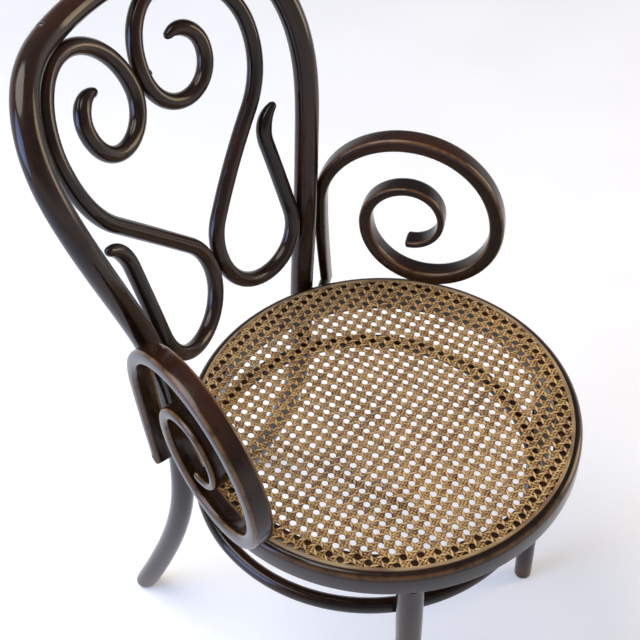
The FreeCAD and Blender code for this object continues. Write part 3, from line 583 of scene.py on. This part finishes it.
# %% Bend the scrolls
def scroll():
    """The left scroll; the right one is its mirror image."""
    flat = scroll_drawing()
    line = np.stack([flat[:, 0], back_surface(flat[:, 0], flat[:, 1]), flat[:, 1]], axis=1)
    tip = 5 * mm
    path, places, total = resampled(line, 2.5 * mm, tip)
    thinning = 34 * mm
    way = np.minimum(np.minimum(places, total - places), thinning)
    slim = 0.45 + 0.55 * np.sin(np.pi / 2 * way / thinning)
    radius = scroll_radius * slim * tip_share(places, total, tip)
    frames = section_frame(path, np.array([0.0, 1.0, 0.0]))
    surface, place = swept(path, places, radius, radius, frames, sides=24)
    return closed_tube(surface, place, line[[0, -1]])


def both_sides(name, node, points, quads, triangles, values):
    """Sets a left piece and its mirror image, each in place of its own node."""
    for side in ("left", "right"):
        if side == "right":
            points, quads, triangles = mirrored(points, quads, triangles)
        piece = make_piece(name + side, to_frame(points), quads, triangles, values)
        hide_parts(node + side)
        dress(piece, bentwood)


points, quads, triangles, wood = scroll()
values = {"wood_place": wood, "wear_and_highlight": np.full(len(points), 0.04)}
both_sides("scroll_bent_", "scroll_", points, quads, triangles, values)
print("scroll rod has", len(quads), "faces")

# %% [markdown]
# ## The arms
#
# Each arm is a ribbon, about as wide as a thumb, bent the flat way into a spiral: up beside
# the rear leg, over, down in front to rest on the ring, and on inside, thinner and thinner,
# about a turn and a half from its highest point. It lies in a plane that toes out and leans
# out a little, and its underside is flattened where it rests on the ring. The section is a
# rounded rectangle, which a power of four and a half in the oval's formula gives in one
# line. Its corners are where the lacquer wears, and where a golden highlight is painted along
# the rounded edges, so the golden brown is strongest there.

# %% Arm path
toe = np.radians(20.3)
arm_forward = np.array([np.sin(toe), -np.cos(toe)])
arm_outward = np.array([np.cos(toe), np.sin(toe)])
arm_turns = (110.5, 80.3, 77.5, 49.7, 41.8, 35.7)
arm_full = 18 * mm
arm_half_width = 12.25 * mm
arm_bottom = seat_top + arm_full / 2 - 1.6 * mm
arm_top = arm_bottom + (arm_turns[0] + arm_turns[1]) * mm
arm_end = ring_bottom + 1 * mm
arm_rear_drop = 96.6 * mm
arm_rear_height = arm_top - arm_rear_drop
joint_reach = -joint @ arm_forward
rear_reach = joint_reach - 19.2 * mm
end_reach = joint_reach - 25.2 * mm
top_reach = -17.3 * mm


def arm_path():
    """Reach, height and thickness: strand, quarter oval, six quarter turns, the last a bit more."""
    thin, tip = 11 * mm, 8 * mm
    behind = 0.4 * thin + 0.6 * arm_full
    share = np.linspace(0, 1, 60, endpoint=False)
    reach = -(end_reach + (rear_reach - end_reach) * np.sin(np.pi / 2 * share))
    height = arm_end + (arm_rear_height - arm_end) * share
    strand = np.stack([reach, height, thin + (behind - thin) * share], axis=1)
    quarter = np.pi / 2 * share
    oval = np.stack([
        top_reach - (top_reach + rear_reach) * np.cos(quarter),
        arm_rear_height + arm_rear_drop * np.sin(quarter),
        behind + (arm_full - behind) * share], axis=1)
    steps = [strand, oval]
    thickness = np.array([1, 1, 1, 0.86, 0.62, 0.5, tip / arm_full]) * arm_full
    corner = np.array([top_reach, arm_top])
    start = 90.0
    for i, radius in enumerate(arm_turns):
        sweep = 90.0 if i < 5 else 102.0
        first = np.radians(start)
        middle = corner - radius * mm * np.array([np.cos(first), np.sin(first)])
        angle = np.radians(start - sweep * share)
        turn = middle + radius * mm * np.stack([np.cos(angle), np.sin(angle)], axis=1)
        thinner = thickness[i] + (thickness[i + 1] - thickness[i]) * share
        steps.append(np.column_stack([turn, thinner]))
        last = np.radians(start - sweep)
        corner = middle + radius * mm * np.array([np.cos(last), np.sin(last)])
        start -= 90.0
    return np.concatenate(steps)


def arm_places(reach, height):
    """Points of the arm's leaning plane: outward times offset plus forward times reach."""
    offset = ring_radius + 1.7 * mm + 0.05 * (height - seat_top)
    flat = arm_outward * offset[:, None] + arm_forward * reach[:, None]
    return np.column_stack([flat, height])


# %% Bend the arms
def arm():
    steps = arm_path()
    line = arm_places(steps[:, 0], steps[:, 1])
    tip = 4 * mm
    table, places, total = resampled(line, 2.5 * mm, tip, steps[:, 2])
    path, thickness = table[:, :3], table[:, 3]
    share = tip_share(places, total, tip)
    outward = np.array([arm_outward[0], arm_outward[1], 0.0])
    frames = section_frame(path, outward)
    half_width = arm_half_width * (0.35 + 0.65 * share)
    surface, place = swept(path, places, half_width, thickness / 2 * share, frames, sides=32, power=4.5)
    points, quads, triangles, wood = closed_tube(surface, place, line[[0, -1]])
    half_thickness = np.append(np.repeat(thickness / 2, 32), [1, 1])
    # Painted highlight, with some wear: the section's corners, the rounded edges of the ribbon, are painted
    # golden brown.
    edge = np.abs(wood[:, 1]) / arm_half_width * np.abs(wood[:, 2]) / half_thickness
    on_ring = np.hypot(points[:, 0], points[:, 1]) < ring_radius + fit_gap
    flattened = on_ring & (points[:, 2] < seat_top + fit_gap) & (points[:, 2] > seat_top - 8 * mm)
    points[flattened, 2] = seat_top + fit_gap
    return points, quads, triangles, wood, 0.04 + 0.7 * np.clip((edge - 0.66) / 0.06, 0, 1)


points, quads, triangles, wood, wear_and_highlight = arm()
both_sides("arm_bent_", "arm_", points, quads, triangles, {"wood_place": wood, "wear_and_highlight": wear_and_highlight})
print("arm ribbon is %.2f m long" % wood[:, 0].max())

# %% [markdown]
# ## Turned pieces: ring, spline, leg hoop, front legs
#
# What a lathe makes is an outline carried round an axis. `turned` does just that, and closes
# the outline on itself, so a ring has no seam. It serves the bent rounds as well, the reed
# and the leg hoop. The grain value runs both ways round from the front and meets at the back,
# which keeps it without a jump. The front legs lean, so they are swept like the rods.

# %% Turning helper
def turned(outline, segments, middle=(0.0, 0.0)):
    """Middle plus r (sin f, -cos f) and z of the outline, for every angle f of the round."""
    f = 2 * np.pi * np.arange(segments) / segments
    r, z = outline[:, 0], outline[:, 1]
    x = middle[0] + np.sin(f)[:, None] * r
    y = middle[1] - np.cos(f)[:, None] * r
    surface = np.stack([x, y, np.broadcast_to(z, x.shape)], axis=-1)
    half_way = np.pi - np.abs(np.pi - f)
    along = np.broadcast_to((half_way * r.mean())[:, None], x.shape)
    across = np.broadcast_to(r - r.mean(), x.shape)
    up = np.broadcast_to(z - z.mean(), x.shape)
    wood = np.stack([along, across, up], axis=-1)
    quads = grid_faces(segments, len(outline), closed_along=True)
    return surface.reshape(-1, 3), quads, wood.reshape(-1, 3)


def rounded_corner(x, z, radius, start, end, count=6):
    """Points of a quarter round about (x, z)."""
    angle = np.radians(np.linspace(start, end, count))
    return np.stack([x + radius * np.cos(angle), z + radius * np.sin(angle)], axis=1)


# %% Seat ring
def seat_ring():
    """Outline from the inner foot, outwards, up, over the rounded rim and down into the groove."""
    inner, outer, low, top = 191 * mm, ring_radius, ring_bottom, seat_top
    groove_in, groove_out, groove_low = 207.5 * mm, 212.5 * mm, 425 * mm
    outline = np.concatenate([
        rounded_corner(inner + 1.5 * mm, low + 1.5 * mm, 1.5 * mm, 180, 270, 4),
        rounded_corner(outer - 3 * mm, low + 3 * mm, 3 * mm, 270, 360, 5),
        rounded_corner(outer - 8 * mm, top - 8 * mm, 8 * mm, 0, 90, 10),
        [[groove_out, top - 0.2 * mm], [groove_out, groove_low]],
        [[groove_in, groove_low], [groove_in, top - 0.1 * mm]],
        [[groove_in - 0.3 * mm, top], [inner + 8 * mm, top]],
        rounded_corner(inner + 1.5 * mm, top - 1.5 * mm, 1.5 * mm, 90, 180, 4),
    ])
    points, quads, wood = turned(outline, 192)
    radius = np.hypot(points[:, 0], points[:, 1])
    # A band on the rounded top of the rim is painted golden brown: wear, and a painted highlight where the
    # round catches the light.
    rim = np.exp(-((radius - 219 * mm) / (1.3 * mm)) ** 2) * (points[:, 2] > 424 * mm)
    values = {"wood_place": wood, "wear_and_highlight": 0.04 + 0.55 * rim}
    piece = make_piece("seat_ring_turned", to_frame(points), quads, None, values, sharp=40)
    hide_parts("seat_ring")
    dress(piece, bentwood)


seat_ring()


# %% Reed spline
def reed_spline():
    """A reed with a domed top, standing a little proud of the groove."""
    low, side_top, crest = 425.2 * mm, 430.9 * mm, 432 * mm
    middle, half = 210.1 * mm, 1.95 * mm
    swing = np.radians(np.linspace(0, 180, 9))
    dome = np.stack([middle + half * np.cos(swing), side_top + (crest - side_top) * np.sin(swing)], axis=1)
    outline = np.concatenate([[[middle - half, low], [middle + half, low]], dome])
    points, quads, wood = turned(outline, 256)
    piece = make_piece("reed_spline_bent", to_frame(points), quads, None, {"wood_place": wood}, sharp=50)
    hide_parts("cane_spline")
    dress(piece, reed)


reed_spline()


# %% Leg hoop
def leg_hoop():
    """A round rod bent to a closed circle: its outline is a circle away from the axis."""
    corners = node_points("leg_hoop")
    low, high = corners.min(axis=0), corners.max(axis=0)
    rod = 8.75 * mm
    radius = 0.5 * (high[0] - low[0]) - rod
    swing = 2 * np.pi * np.arange(20) / 20
    level = 0.5 * (low[2] + high[2])
    outline = np.stack([radius + rod * np.cos(swing), level + rod * np.sin(swing)], axis=1)
    points, quads, wood = turned(outline, 180, (0.0, 0.5 * (low[1] + high[1])))
    values = {"wood_place": wood, "wear_and_highlight": np.full(len(points), 0.04)}
    piece = make_piece("leg_hoop_bent", points, quads, None, values)
    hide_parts("leg_hoop")
    dress(piece, bentwood)


leg_hoop()


# %% Front legs
def front_leg(side):
    """A tapering round leg, level at the floor, that leans out a little towards its foot."""
    heights = np.concatenate([np.linspace(0, 3, 5), np.linspace(6, 399.8, 80)]) * mm
    share = 1 - heights / ring_bottom
    angle = np.radians(51.2)
    away = ring_radius - 15.5 * mm + 5.5 * mm * share
    path = np.stack([side * away * np.sin(angle), -away * np.cos(angle), heights], axis=1)
    rounding = np.clip(1 - heights / (3 * mm), 0, 1)
    radius = (15 - 3.5 * share) * mm - 3 * mm * (1 - np.sqrt(1 - 0.9 * rounding ** 2))
    upright = np.tile(np.array([[0.0, 0.0, 1.0]]), (len(path), 1))
    frames = section_frame(path, np.array([0.0, 1.0, 0.0]), upright)
    surface, place = swept(path, heights, radius, radius, frames, sides=28)
    points, quads, triangles, wood = closed_tube(surface, place, path[[0, -1]])
    wear_and_highlight = 0.04 + 0.4 * np.clip(1 - points[:, 2] / (50 * mm), 0, 1)
    return points, quads, triangles, wood, wear_and_highlight


for side, sign in (("left", 1), ("right", -1)):
    points, quads, triangles, wood, wear_and_highlight = front_leg(sign)
    piece = make_piece("front_leg_turned_" + side, to_frame(points), quads, triangles,
                       {"wood_place": wood, "wear_and_highlight": wear_and_highlight}, sharp=50)
    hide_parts("front_leg_" + side)
    dress(piece, bentwood)

# %% [markdown]
# ## The woven cane
#
# Chair cane is woven in six ways: pairs of strands run to the back and across, plain woven
# with each other, and single strands run along both diagonals. One diagonal goes over every
# front-to-back pair and under every cross pair, the other the opposite way. The diagonals
# pass half-way between the crossings of the pairs, which cuts the corners off each opening
# and makes it an octagon. All strands of one way are worked out together: a row per strand,
# a column per station, ends cut off by a circle that the reed covers.

# %% One way of the weave
cane_level = seat_top + 1.0 * mm
cane_edge = 208.6 * mm
pitch = np.array([12.1, 13.1]) * mm
spread = 1.55 * mm
rng = np.random.default_rng(7)


def strands(direction, offsets, stations, rise, width, thickness):
    """Ribbons along one direction: place = direction s + sideways d + up rise(x, y).

    A strand's section has four corners: both edges, a crown and a flatter belly.
    """
    direction = np.array([direction[0], direction[1], 0.0])
    sideways = np.array([-direction[1], direction[0], 0.0])
    offsets = offsets + rng.normal(0.0, 0.12 * mm, len(offsets))
    reach = np.sqrt(np.maximum(cane_edge ** 2 - offsets ** 2, 0.0))
    s = np.clip(stations[None, :], -reach[:, None], reach[:, None])
    d = np.broadcast_to(offsets[:, None], s.shape)
    sway = 0.1 * mm * np.sin(s / (60 * mm) + rng.uniform(0, 6.3, len(offsets))[:, None])
    path = direction * s[..., None] + sideways * (d + sway)[..., None]
    path[..., 2] = cane_level + rise(path[..., 0], path[..., 1])
    slack = rng.normal(1.0, 0.05, len(offsets))
    half = 0.5 * width * slack[:, None, None]
    corners = np.array([[-1.0, 0.0], [0.0, 1.0], [1.0, 0.0], [0.0, -0.4]])
    across = half[..., None] * corners[:, 0][None, None, :, None] * sideways
    up = thickness * corners[:, 1][None, None, :, None] * np.array([0.0, 0.0, 1.0])
    surface = path[:, :, None, :] + across + up
    wood = np.stack(np.broadcast_arrays(
        s[:, :, None] + 0.7 * np.arange(len(offsets))[:, None, None],
        half * corners[:, 0][None, None, :],
        thickness * corners[:, 1][None, None, :]), axis=-1)
    tone = np.broadcast_to(rng.uniform(0, 1, len(offsets))[:, None, None], surface.shape[:3])
    return surface, wood, tone, s


def strand_faces(s, first_index):
    """Quads between stations that differ, and a quad over each end of every strand."""
    count, stations = s.shape
    base = first_index + 4 * (stations * np.arange(count)[:, None] + np.arange(stations)[None, :])
    live = np.diff(s, axis=1) > 1e-6
    here, there = base[:, :-1][live], base[:, 1:][live]
    k = np.arange(4)
    k_next = (k + 1) % 4
    sides = np.stack([
        here[:, None] + k, there[:, None] + k, there[:, None] + k_next, here[:, None] + k_next], axis=-1)
    present = live.any(axis=1)
    first = base[present, 0]
    last = base[present, -1]
    caps = np.concatenate([first[:, None] + k, last[:, None] + k[::-1]])
    return np.concatenate([sides.reshape(-1, 4), caps])


# %% Over and under
def from_crossing(place, step):
    """Distance to the nearest pair, which lies half a step from the middle of an opening."""
    return (place / step) % 1.0 * step - 0.5 * step


def plain_weave(sign, along_step, side_step):
    """A pair's two strands pass the other pair's two strands one under, one over."""
    def rise(along, side):
        t = from_crossing(along, along_step)
        which = np.sign(from_crossing(side, side_step))
        fade = 1 - np.clip((np.abs(t) - spread) / (0.5 * along_step - spread), 0, 1)
        return sign * which * 0.28 * mm * np.clip(t / spread, -1, 1) * fade
    return rise


def diagonal_wave(sign):
    """A wave along x whose crests are over one set of pairs and troughs under the other."""
    return lambda x, y: -sign * 0.6 * mm * np.cos(2 * np.pi * x / pitch[0])


def pair_lines(step):
    """Both strands of every pair, and the stations where strands that cross them rise or fall."""
    count = int(cane_edge / step) + 2
    middles = (np.arange(-count, count)[:, None] + 0.5) * step
    places = (middles + np.array([-spread, spread])).ravel()
    stations = (middles + np.array([-spread, spread, 0.5 * step])).ravel()
    return places[np.abs(places) < cane_edge - 1.5 * mm], stations


side_places, side_stations = pair_lines(pitch[0])
back_places, back_stations = pair_lines(pitch[1])
slant = unit(pitch)
slant_step = pitch[0] * slant[1]
count = int(cane_edge / slant_step) + 1
slant_places = (np.arange(-count, count) + 0.5) * slant_step
slant_places = slant_places[np.abs(slant_places) < cane_edge - 1.5 * mm]
slant_stations = np.arange(-100, 101) * np.hypot(*pitch) / 8
front_to_back = plain_weave(1, pitch[1], pitch[0])
side_to_side = plain_weave(-1, pitch[0], pitch[1])
ways = {
    "cane_pairs": [
        ((0.0, 1.0), side_places, back_stations, lambda x, y: front_to_back(y, x), 2.8 * mm, 0.3 * mm),
        ((1.0, 0.0), back_places, side_stations, side_to_side, 2.8 * mm, 0.3 * mm),
    ],
    "cane_diagonals": [
        ((slant[0], slant[1]), slant_places, slant_stations, diagonal_wave(1), 2.3 * mm, 0.3 * mm),
        ((slant[0], -slant[1]), slant_places, slant_stations, diagonal_wave(-1), 2.3 * mm, 0.3 * mm),
    ],
}

# %% Weave
for name, sets in ways.items():
    points, woods, tones, faces = [], [], [], []
    begin = 0
    for direction, places, stations, rise, width, thickness in sets:
        surface, wood, tone, s = strands(direction, places, stations, rise, width, thickness)
        faces.append(strand_faces(s, begin))
        points.append(surface.reshape(-1, 3))
        woods.append(wood.reshape(-1, 3))
        tones.append(tone.reshape(-1))
        begin += points[-1].shape[0]
    points, woods, tones = np.concatenate(points), np.concatenate(woods), np.concatenate(tones)
    used, faces = np.unique(np.concatenate(faces), return_inverse=True)
    faces = faces.reshape(-1, 4)
    points = points[used]
    sat_on = np.clip(1 - np.hypot(points[:, 0], points[:, 1]) / (200 * mm), 0, 1)
    # Height over the weave's level. From it the cane finish paints shade in the dips and a highlight on the
    # crests.
    crest = (points[:, 2] - cane_level) / mm
    values = {"wood_place": woods[used], "tone": tones[used], "sat_on": sat_on, "crest": crest}
    piece = make_piece(name, to_frame(points), faces, None, values)
    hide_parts("cane_webbing")
    dress(piece, cane)
    print(name, "has", len(faces), "faces")

# %% [markdown]
# ## Screws
#
# The bent pieces are held by slotted wood screws with round heads. Their places are read from
# the frame: the long axis of a node's points is found step by step, and the wide end is the
# head. It comes out right on all screws but the two between the scrolls, which lie 9 degrees
# askew. The head is a square grid drawn into a disc, so two of its grid lines can be the
# edges of the slot. The grid's border then carries on as rings down the shank.

# %% Screw helpers
def screw_axes(name):
    """Head face, direction and length of each screw of a node, from its corners' longest axis."""
    corners = node_points(name)
    middle = corners.mean(axis=0)
    if name == "scroll_pair_screws":
        groups = [corners[corners[:, 2] > middle[2]], corners[corners[:, 2] <= middle[2]]]
    else:
        groups = [corners[corners[:, 0] > 0], corners[corners[:, 0] <= 0]]
    axes = []
    for group in groups:
        group = np.unique(np.round(group, 6), axis=0)
        far = group[np.argmax(np.linalg.norm(group - group.mean(axis=0), axis=1))]
        near = group[np.argmax(np.linalg.norm(group - far, axis=1))]
        direction = unit(near - far)
        for _ in range(12):
            along = (group - group.mean(axis=0)) @ direction
            far_end = group[along > along.max() - 0.5 * mm].mean(axis=0)
            near_end = group[along < along.min() + 0.5 * mm].mean(axis=0)
            ends = far_end, near_end
            direction = unit(ends[0] - ends[1])
        off = np.linalg.norm((group - ends[1]) - ((group - ends[1]) @ direction)[:, None] * direction, axis=1)
        along = (group - ends[1]) @ direction
        if off[along < 1 * mm].max() < off[along > along.max() - 1 * mm].max():
            axes.append((ends[0], -direction, along.max()))
        else:
            axes.append((ends[1], direction, along.max()))
    return axes


head_lines = np.array([-1, -0.75, -0.5, -0.28, -0.14, -0.13, 0.13, 0.14, 0.28, 0.5, 0.75, 1])


def slotted_head(radius, dome, slot_half, slot_deep):
    """Grid (u, v) drawn to a disc: x = u sqrt(1 - v^2/2), y = v sqrt(1 - u^2/2), domed and slotted."""
    u, v = np.meshgrid(head_lines, np.linspace(-1, 1, 11), indexing="ij")
    x = radius * u * np.sqrt(1 - v ** 2 / 2)
    y = radius * v * np.sqrt(1 - u ** 2 / 2)
    z = dome * (1 - (x ** 2 + y ** 2) / radius ** 2)
    z = np.where(np.abs(u) < slot_half, z.min() - slot_deep + 0.6 * dome, z)
    return x, y, z


def slotted_screw(head_face, direction, length):
    """Head grid, its border as rings under the head and down the shank, and a pole at the point."""
    radius, shank, thick, dome = 4.25 * mm, 2 * mm, 2.4 * mm, 1.1 * mm
    x, y, z = slotted_head(radius, dome, 0.135, 0.5 * mm)
    n, m = x.shape
    index = np.arange(n * m).reshape(n, m)
    border = np.concatenate([index[:, 0], index[-1, 1:], index[-2::-1, -1], index[0, -2:0:-1]])
    turn = np.arctan2(y.ravel()[border], x.ravel()[border])
    grid = np.stack([x.ravel(), y.ravel(), dome - z.ravel()], axis=1)
    point_radius, point_end = 0.4 * mm, length - 0.2 * mm
    outline = np.array([
        [radius, thick - 0.4 * mm], [shank, thick], [shank, length - 4 * mm], [point_radius, point_end]])
    rings = np.stack([
        outline[:, 0][:, None] * np.cos(turn), outline[:, 0][:, None] * np.sin(turn),
        np.broadcast_to(outline[:, 1][:, None], (4, len(turn)))], axis=-1)
    points = np.concatenate([grid, rings.reshape(-1, 3), [[0.0, 0.0, length]]])
    loops = [border] + [n * m + k * len(border) + np.arange(len(border)) for k in range(4)]
    cells = np.stack([index[:-1, :-1], index[:-1, 1:], index[1:, 1:], index[1:, :-1]], axis=-1).reshape(-1, 4)
    walls = [np.stack([a, b, np.roll(b, -1), np.roll(a, -1)], axis=-1) for a, b in zip(loops[:-1], loops[1:])]
    quads = np.concatenate([cells] + [wall[:, ::-1] for wall in walls])
    triangles = fan(len(points) - 1, loops[-1], outward=-1)
    up = np.array([0.0, 0.0, 1.0]) if abs(direction[2]) < 0.9 else np.array([0.0, 1.0, 0.0])
    u = unit(np.cross(up, direction))
    v = np.cross(direction, u)
    placed = head_face + points[:, :1] * u + points[:, 1:2] * v + points[:, 2:] * direction
    return placed, quads, triangles


# %% Set the screws
screw_nodes = [name for name in nodes if name.endswith("_screws") and "coach" not in name]
for name in screw_nodes:
    points, quads, triangles = [], [], []
    begin = 0
    for head_face, direction, length in screw_axes(name):
        p, q, t = slotted_screw(head_face, direction, length)
        points.append(p)
        quads.append(q + begin)
        triangles.append(t + begin)
        begin += len(p)
    points, quads, triangles = (np.concatenate(part) for part in (points, quads, triangles))
    piece = make_piece(name + "_slotted", points, quads, triangles, sharp=35)
    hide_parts(name)
    dress(piece, steel)
print("screw groups:", len(screw_nodes))


# %% Bushes behind the arms
def arm_bushes():
    """Short turned bushes between arm and ring, round the same axes as the arm's rear screws.

    Their flat inner ends run on into the ring by some millimetres, where they aren't seen.
    """
    points, quads = [], []
    begin = 0
    for (head_face, direction, length), sign in zip(screw_axes("arm_rear_screws"), (1, -1)):
        corners = node_points("arm_rear_spacers")
        corners = corners[np.sign(corners[:, 0]) == sign]
        along = (corners - head_face) @ direction
        low, high = along.min(), along.max()
        bore, face, side, edge = 2.2 * mm, 5.4 * mm, 6.0 * mm, 0.6 * mm
        outline = np.array([
            [bore, low], [face, low], [side, low + edge], [side, high - edge], [face, high], [bore, high]])
        swing = 2 * np.pi * np.arange(28) / 28
        u = unit(np.cross([0.0, 0.0, 1.0], direction))
        v = np.cross(direction, u)
        round_way = u * np.cos(swing)[:, None] + v * np.sin(swing)[:, None]
        radius, along = outline[:, 0][:, None, None], outline[:, 1][:, None, None]
        surface = head_face + along * direction + radius * round_way
        points.append(surface.reshape(-1, 3))
        quads.append(grid_faces(len(outline), 28, closed_along=True) + begin)
        begin += points[-1].shape[0]
    points = np.concatenate(points)
    piece = make_piece("arm_bushes_turned", points, np.concatenate(quads), None,
                       {"wood_place": points, "wear_and_highlight": np.full(len(points), 0.04)}, sharp=40)
    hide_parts("arm_rear_spacers")
    dress(piece, bentwood)


arm_bushes()

# %% Coach screws and washers keep their shape and get the steel
for name in ("rear_leg_coach_screws", "rear_leg_washers"):
    nodes[name].data.materials.clear()
    nodes[name].data.materials.append(steel)

# %% [markdown]
# ## Floor, light and camera
#
# A plain pale floor and soft lamps leave the chair to speak for itself. The floor takes the
# chair's shadow, and for the camera and for mirror images it glows a little, more so where the
# lamps don't reach, which lifts it to white. The room is pale near the horizon and dim
# overhead, so that dark lacquer stays dark and mirrors mainly the lamps: a large round one
# above and, as the camera sees it, a cool one on the left and a warm one on the right. The
# camera looks down from the sitter's right, a little in front, as in the photograph.

# %% Floor
def floor():
    """A large sheet: a matt pale surface plus a small glow that only some rays see."""
    look = Finish("pale_floor")
    dust = look.noise(look.object_place(), 3.0, 2.0)
    pale = look.mixed(look.level(dust, 0.3, 0.7), (0.84, 0.84, 0.84), (0.88, 0.88, 0.88))
    look.join(pale, look.shader.inputs["Base Color"])
    look.shader.inputs["Roughness"].default_value = 0.9
    look.shader.inputs["Specular IOR Level"].default_value = 0.1
    rays = look.add("ShaderNodeLightPath")
    seen = look.sums("MAXIMUM", rays.outputs["Is Camera Ray"], rays.outputs["Is Glossy Ray"])
    seen = look.sums("MAXIMUM", seen, rays.outputs["Is Transmission Ray"])
    look.shader.inputs["Emission Color"].default_value = (1.0, 1.0, 1.0, 1.0)
    length = look.add("ShaderNodeVectorMath", operation="LENGTH")
    look.join(look.object_place(), length.inputs[0])
    glow = look.level(length.outputs["Value"], 1.0, 6.0, 0.26, 0.66)
    look.join(look.sums("MULTIPLY", seen, glow), look.shader.inputs["Emission Strength"])
    size = 30.0
    corners = [(-size, -size, 0.0), (size, -size, 0.0), (size, size, 0.0), (-size, size, 0.0)]
    mesh = bpy.data.meshes.new("floor")
    mesh.from_pydata(corners, [], [(0, 1, 2, 3)])
    plane = bpy.data.objects.new("floor", mesh)
    bpy.context.scene.collection.objects.link(plane)
    mesh.materials.append(look.material)


floor()


# %% World and lamps
def room():
    """Light from all round: its colour goes from near white at the horizon to a dim blue grey overhead."""
    sky = bpy.data.worlds.new("room")
    sky.use_nodes = True
    bpy.context.scene.world = sky
    tree = sky.node_tree
    place = tree.nodes.new("ShaderNodeTexCoord")
    parts = tree.nodes.new("ShaderNodeSeparateXYZ")
    tree.links.new(place.outputs["Generated"], parts.inputs[0])
    ramp = tree.nodes.new("ShaderNodeValToRGB")
    ramp.color_ramp.elements[0].position = 0.06
    ramp.color_ramp.elements[0].color = (0.92, 0.92, 0.92, 1)
    ramp.color_ramp.elements[1].position = 0.42
    ramp.color_ramp.elements[1].color = (0.22, 0.24, 0.29, 1)
    tree.links.new(parts.outputs[2], ramp.inputs[0])
    tree.links.new(ramp.outputs[0], tree.nodes["Background"].inputs["Color"])


def lamp(name, place, aim, size, radiance, colour):
    """A lamp of a width and height turned to its aim; power is radiance times pi, width and height."""
    light = bpy.data.lights.new(name, "AREA")
    light.shape = "ELLIPSE" if size[0] == size[1] else "RECTANGLE"
    light.size, light.size_y = size
    light.energy = radiance * np.pi * size[0] * size[1]
    light.color = colour
    stand = bpy.data.objects.new(name, light)
    bpy.context.scene.collection.objects.link(stand)
    stand.location = place
    towards = np.array(aim) - np.array(place)
    tilt = np.arctan2(np.hypot(towards[0], towards[1]), -towards[2])
    stand.rotation_euler = (tilt, 0.0, np.arctan2(-towards[0], towards[1]))


room()
lamp("sky_window", (-0.5, 0.9, 2.6), (0, 0, 0.4), (1.9, 1.9), 4.0, (1.0, 0.97, 0.92))
lamp("cool_side", (-1.9, 1.3, 1.3), (0, 0, 0.5), (1.3, 1.5), 7.0, (0.30, 0.48, 1.0))
lamp("warm_side", (1.9, -1.7, 1.2), (0, 0, 0.4), (0.9, 1.5), 6.0, (1.0, 0.76, 0.46))

# %% Camera
camera = bpy.data.cameras.new("camera")
camera.lens = 70.087
camera.sensor_width = 36.0
camera.shift_x = 0.0120
camera.shift_y = -0.00403
stand = bpy.data.objects.new("camera", camera)
bpy.context.scene.collection.objects.link(stand)
stand.location = (-0.78701, seat_middle_y - 0.46108, 1.49531)
stand.rotation_euler = np.radians((44.84572, 1.80032, -56.73343))
bpy.context.scene.camera = stand
bpy.context.scene.view_settings.view_transform = "Standard"
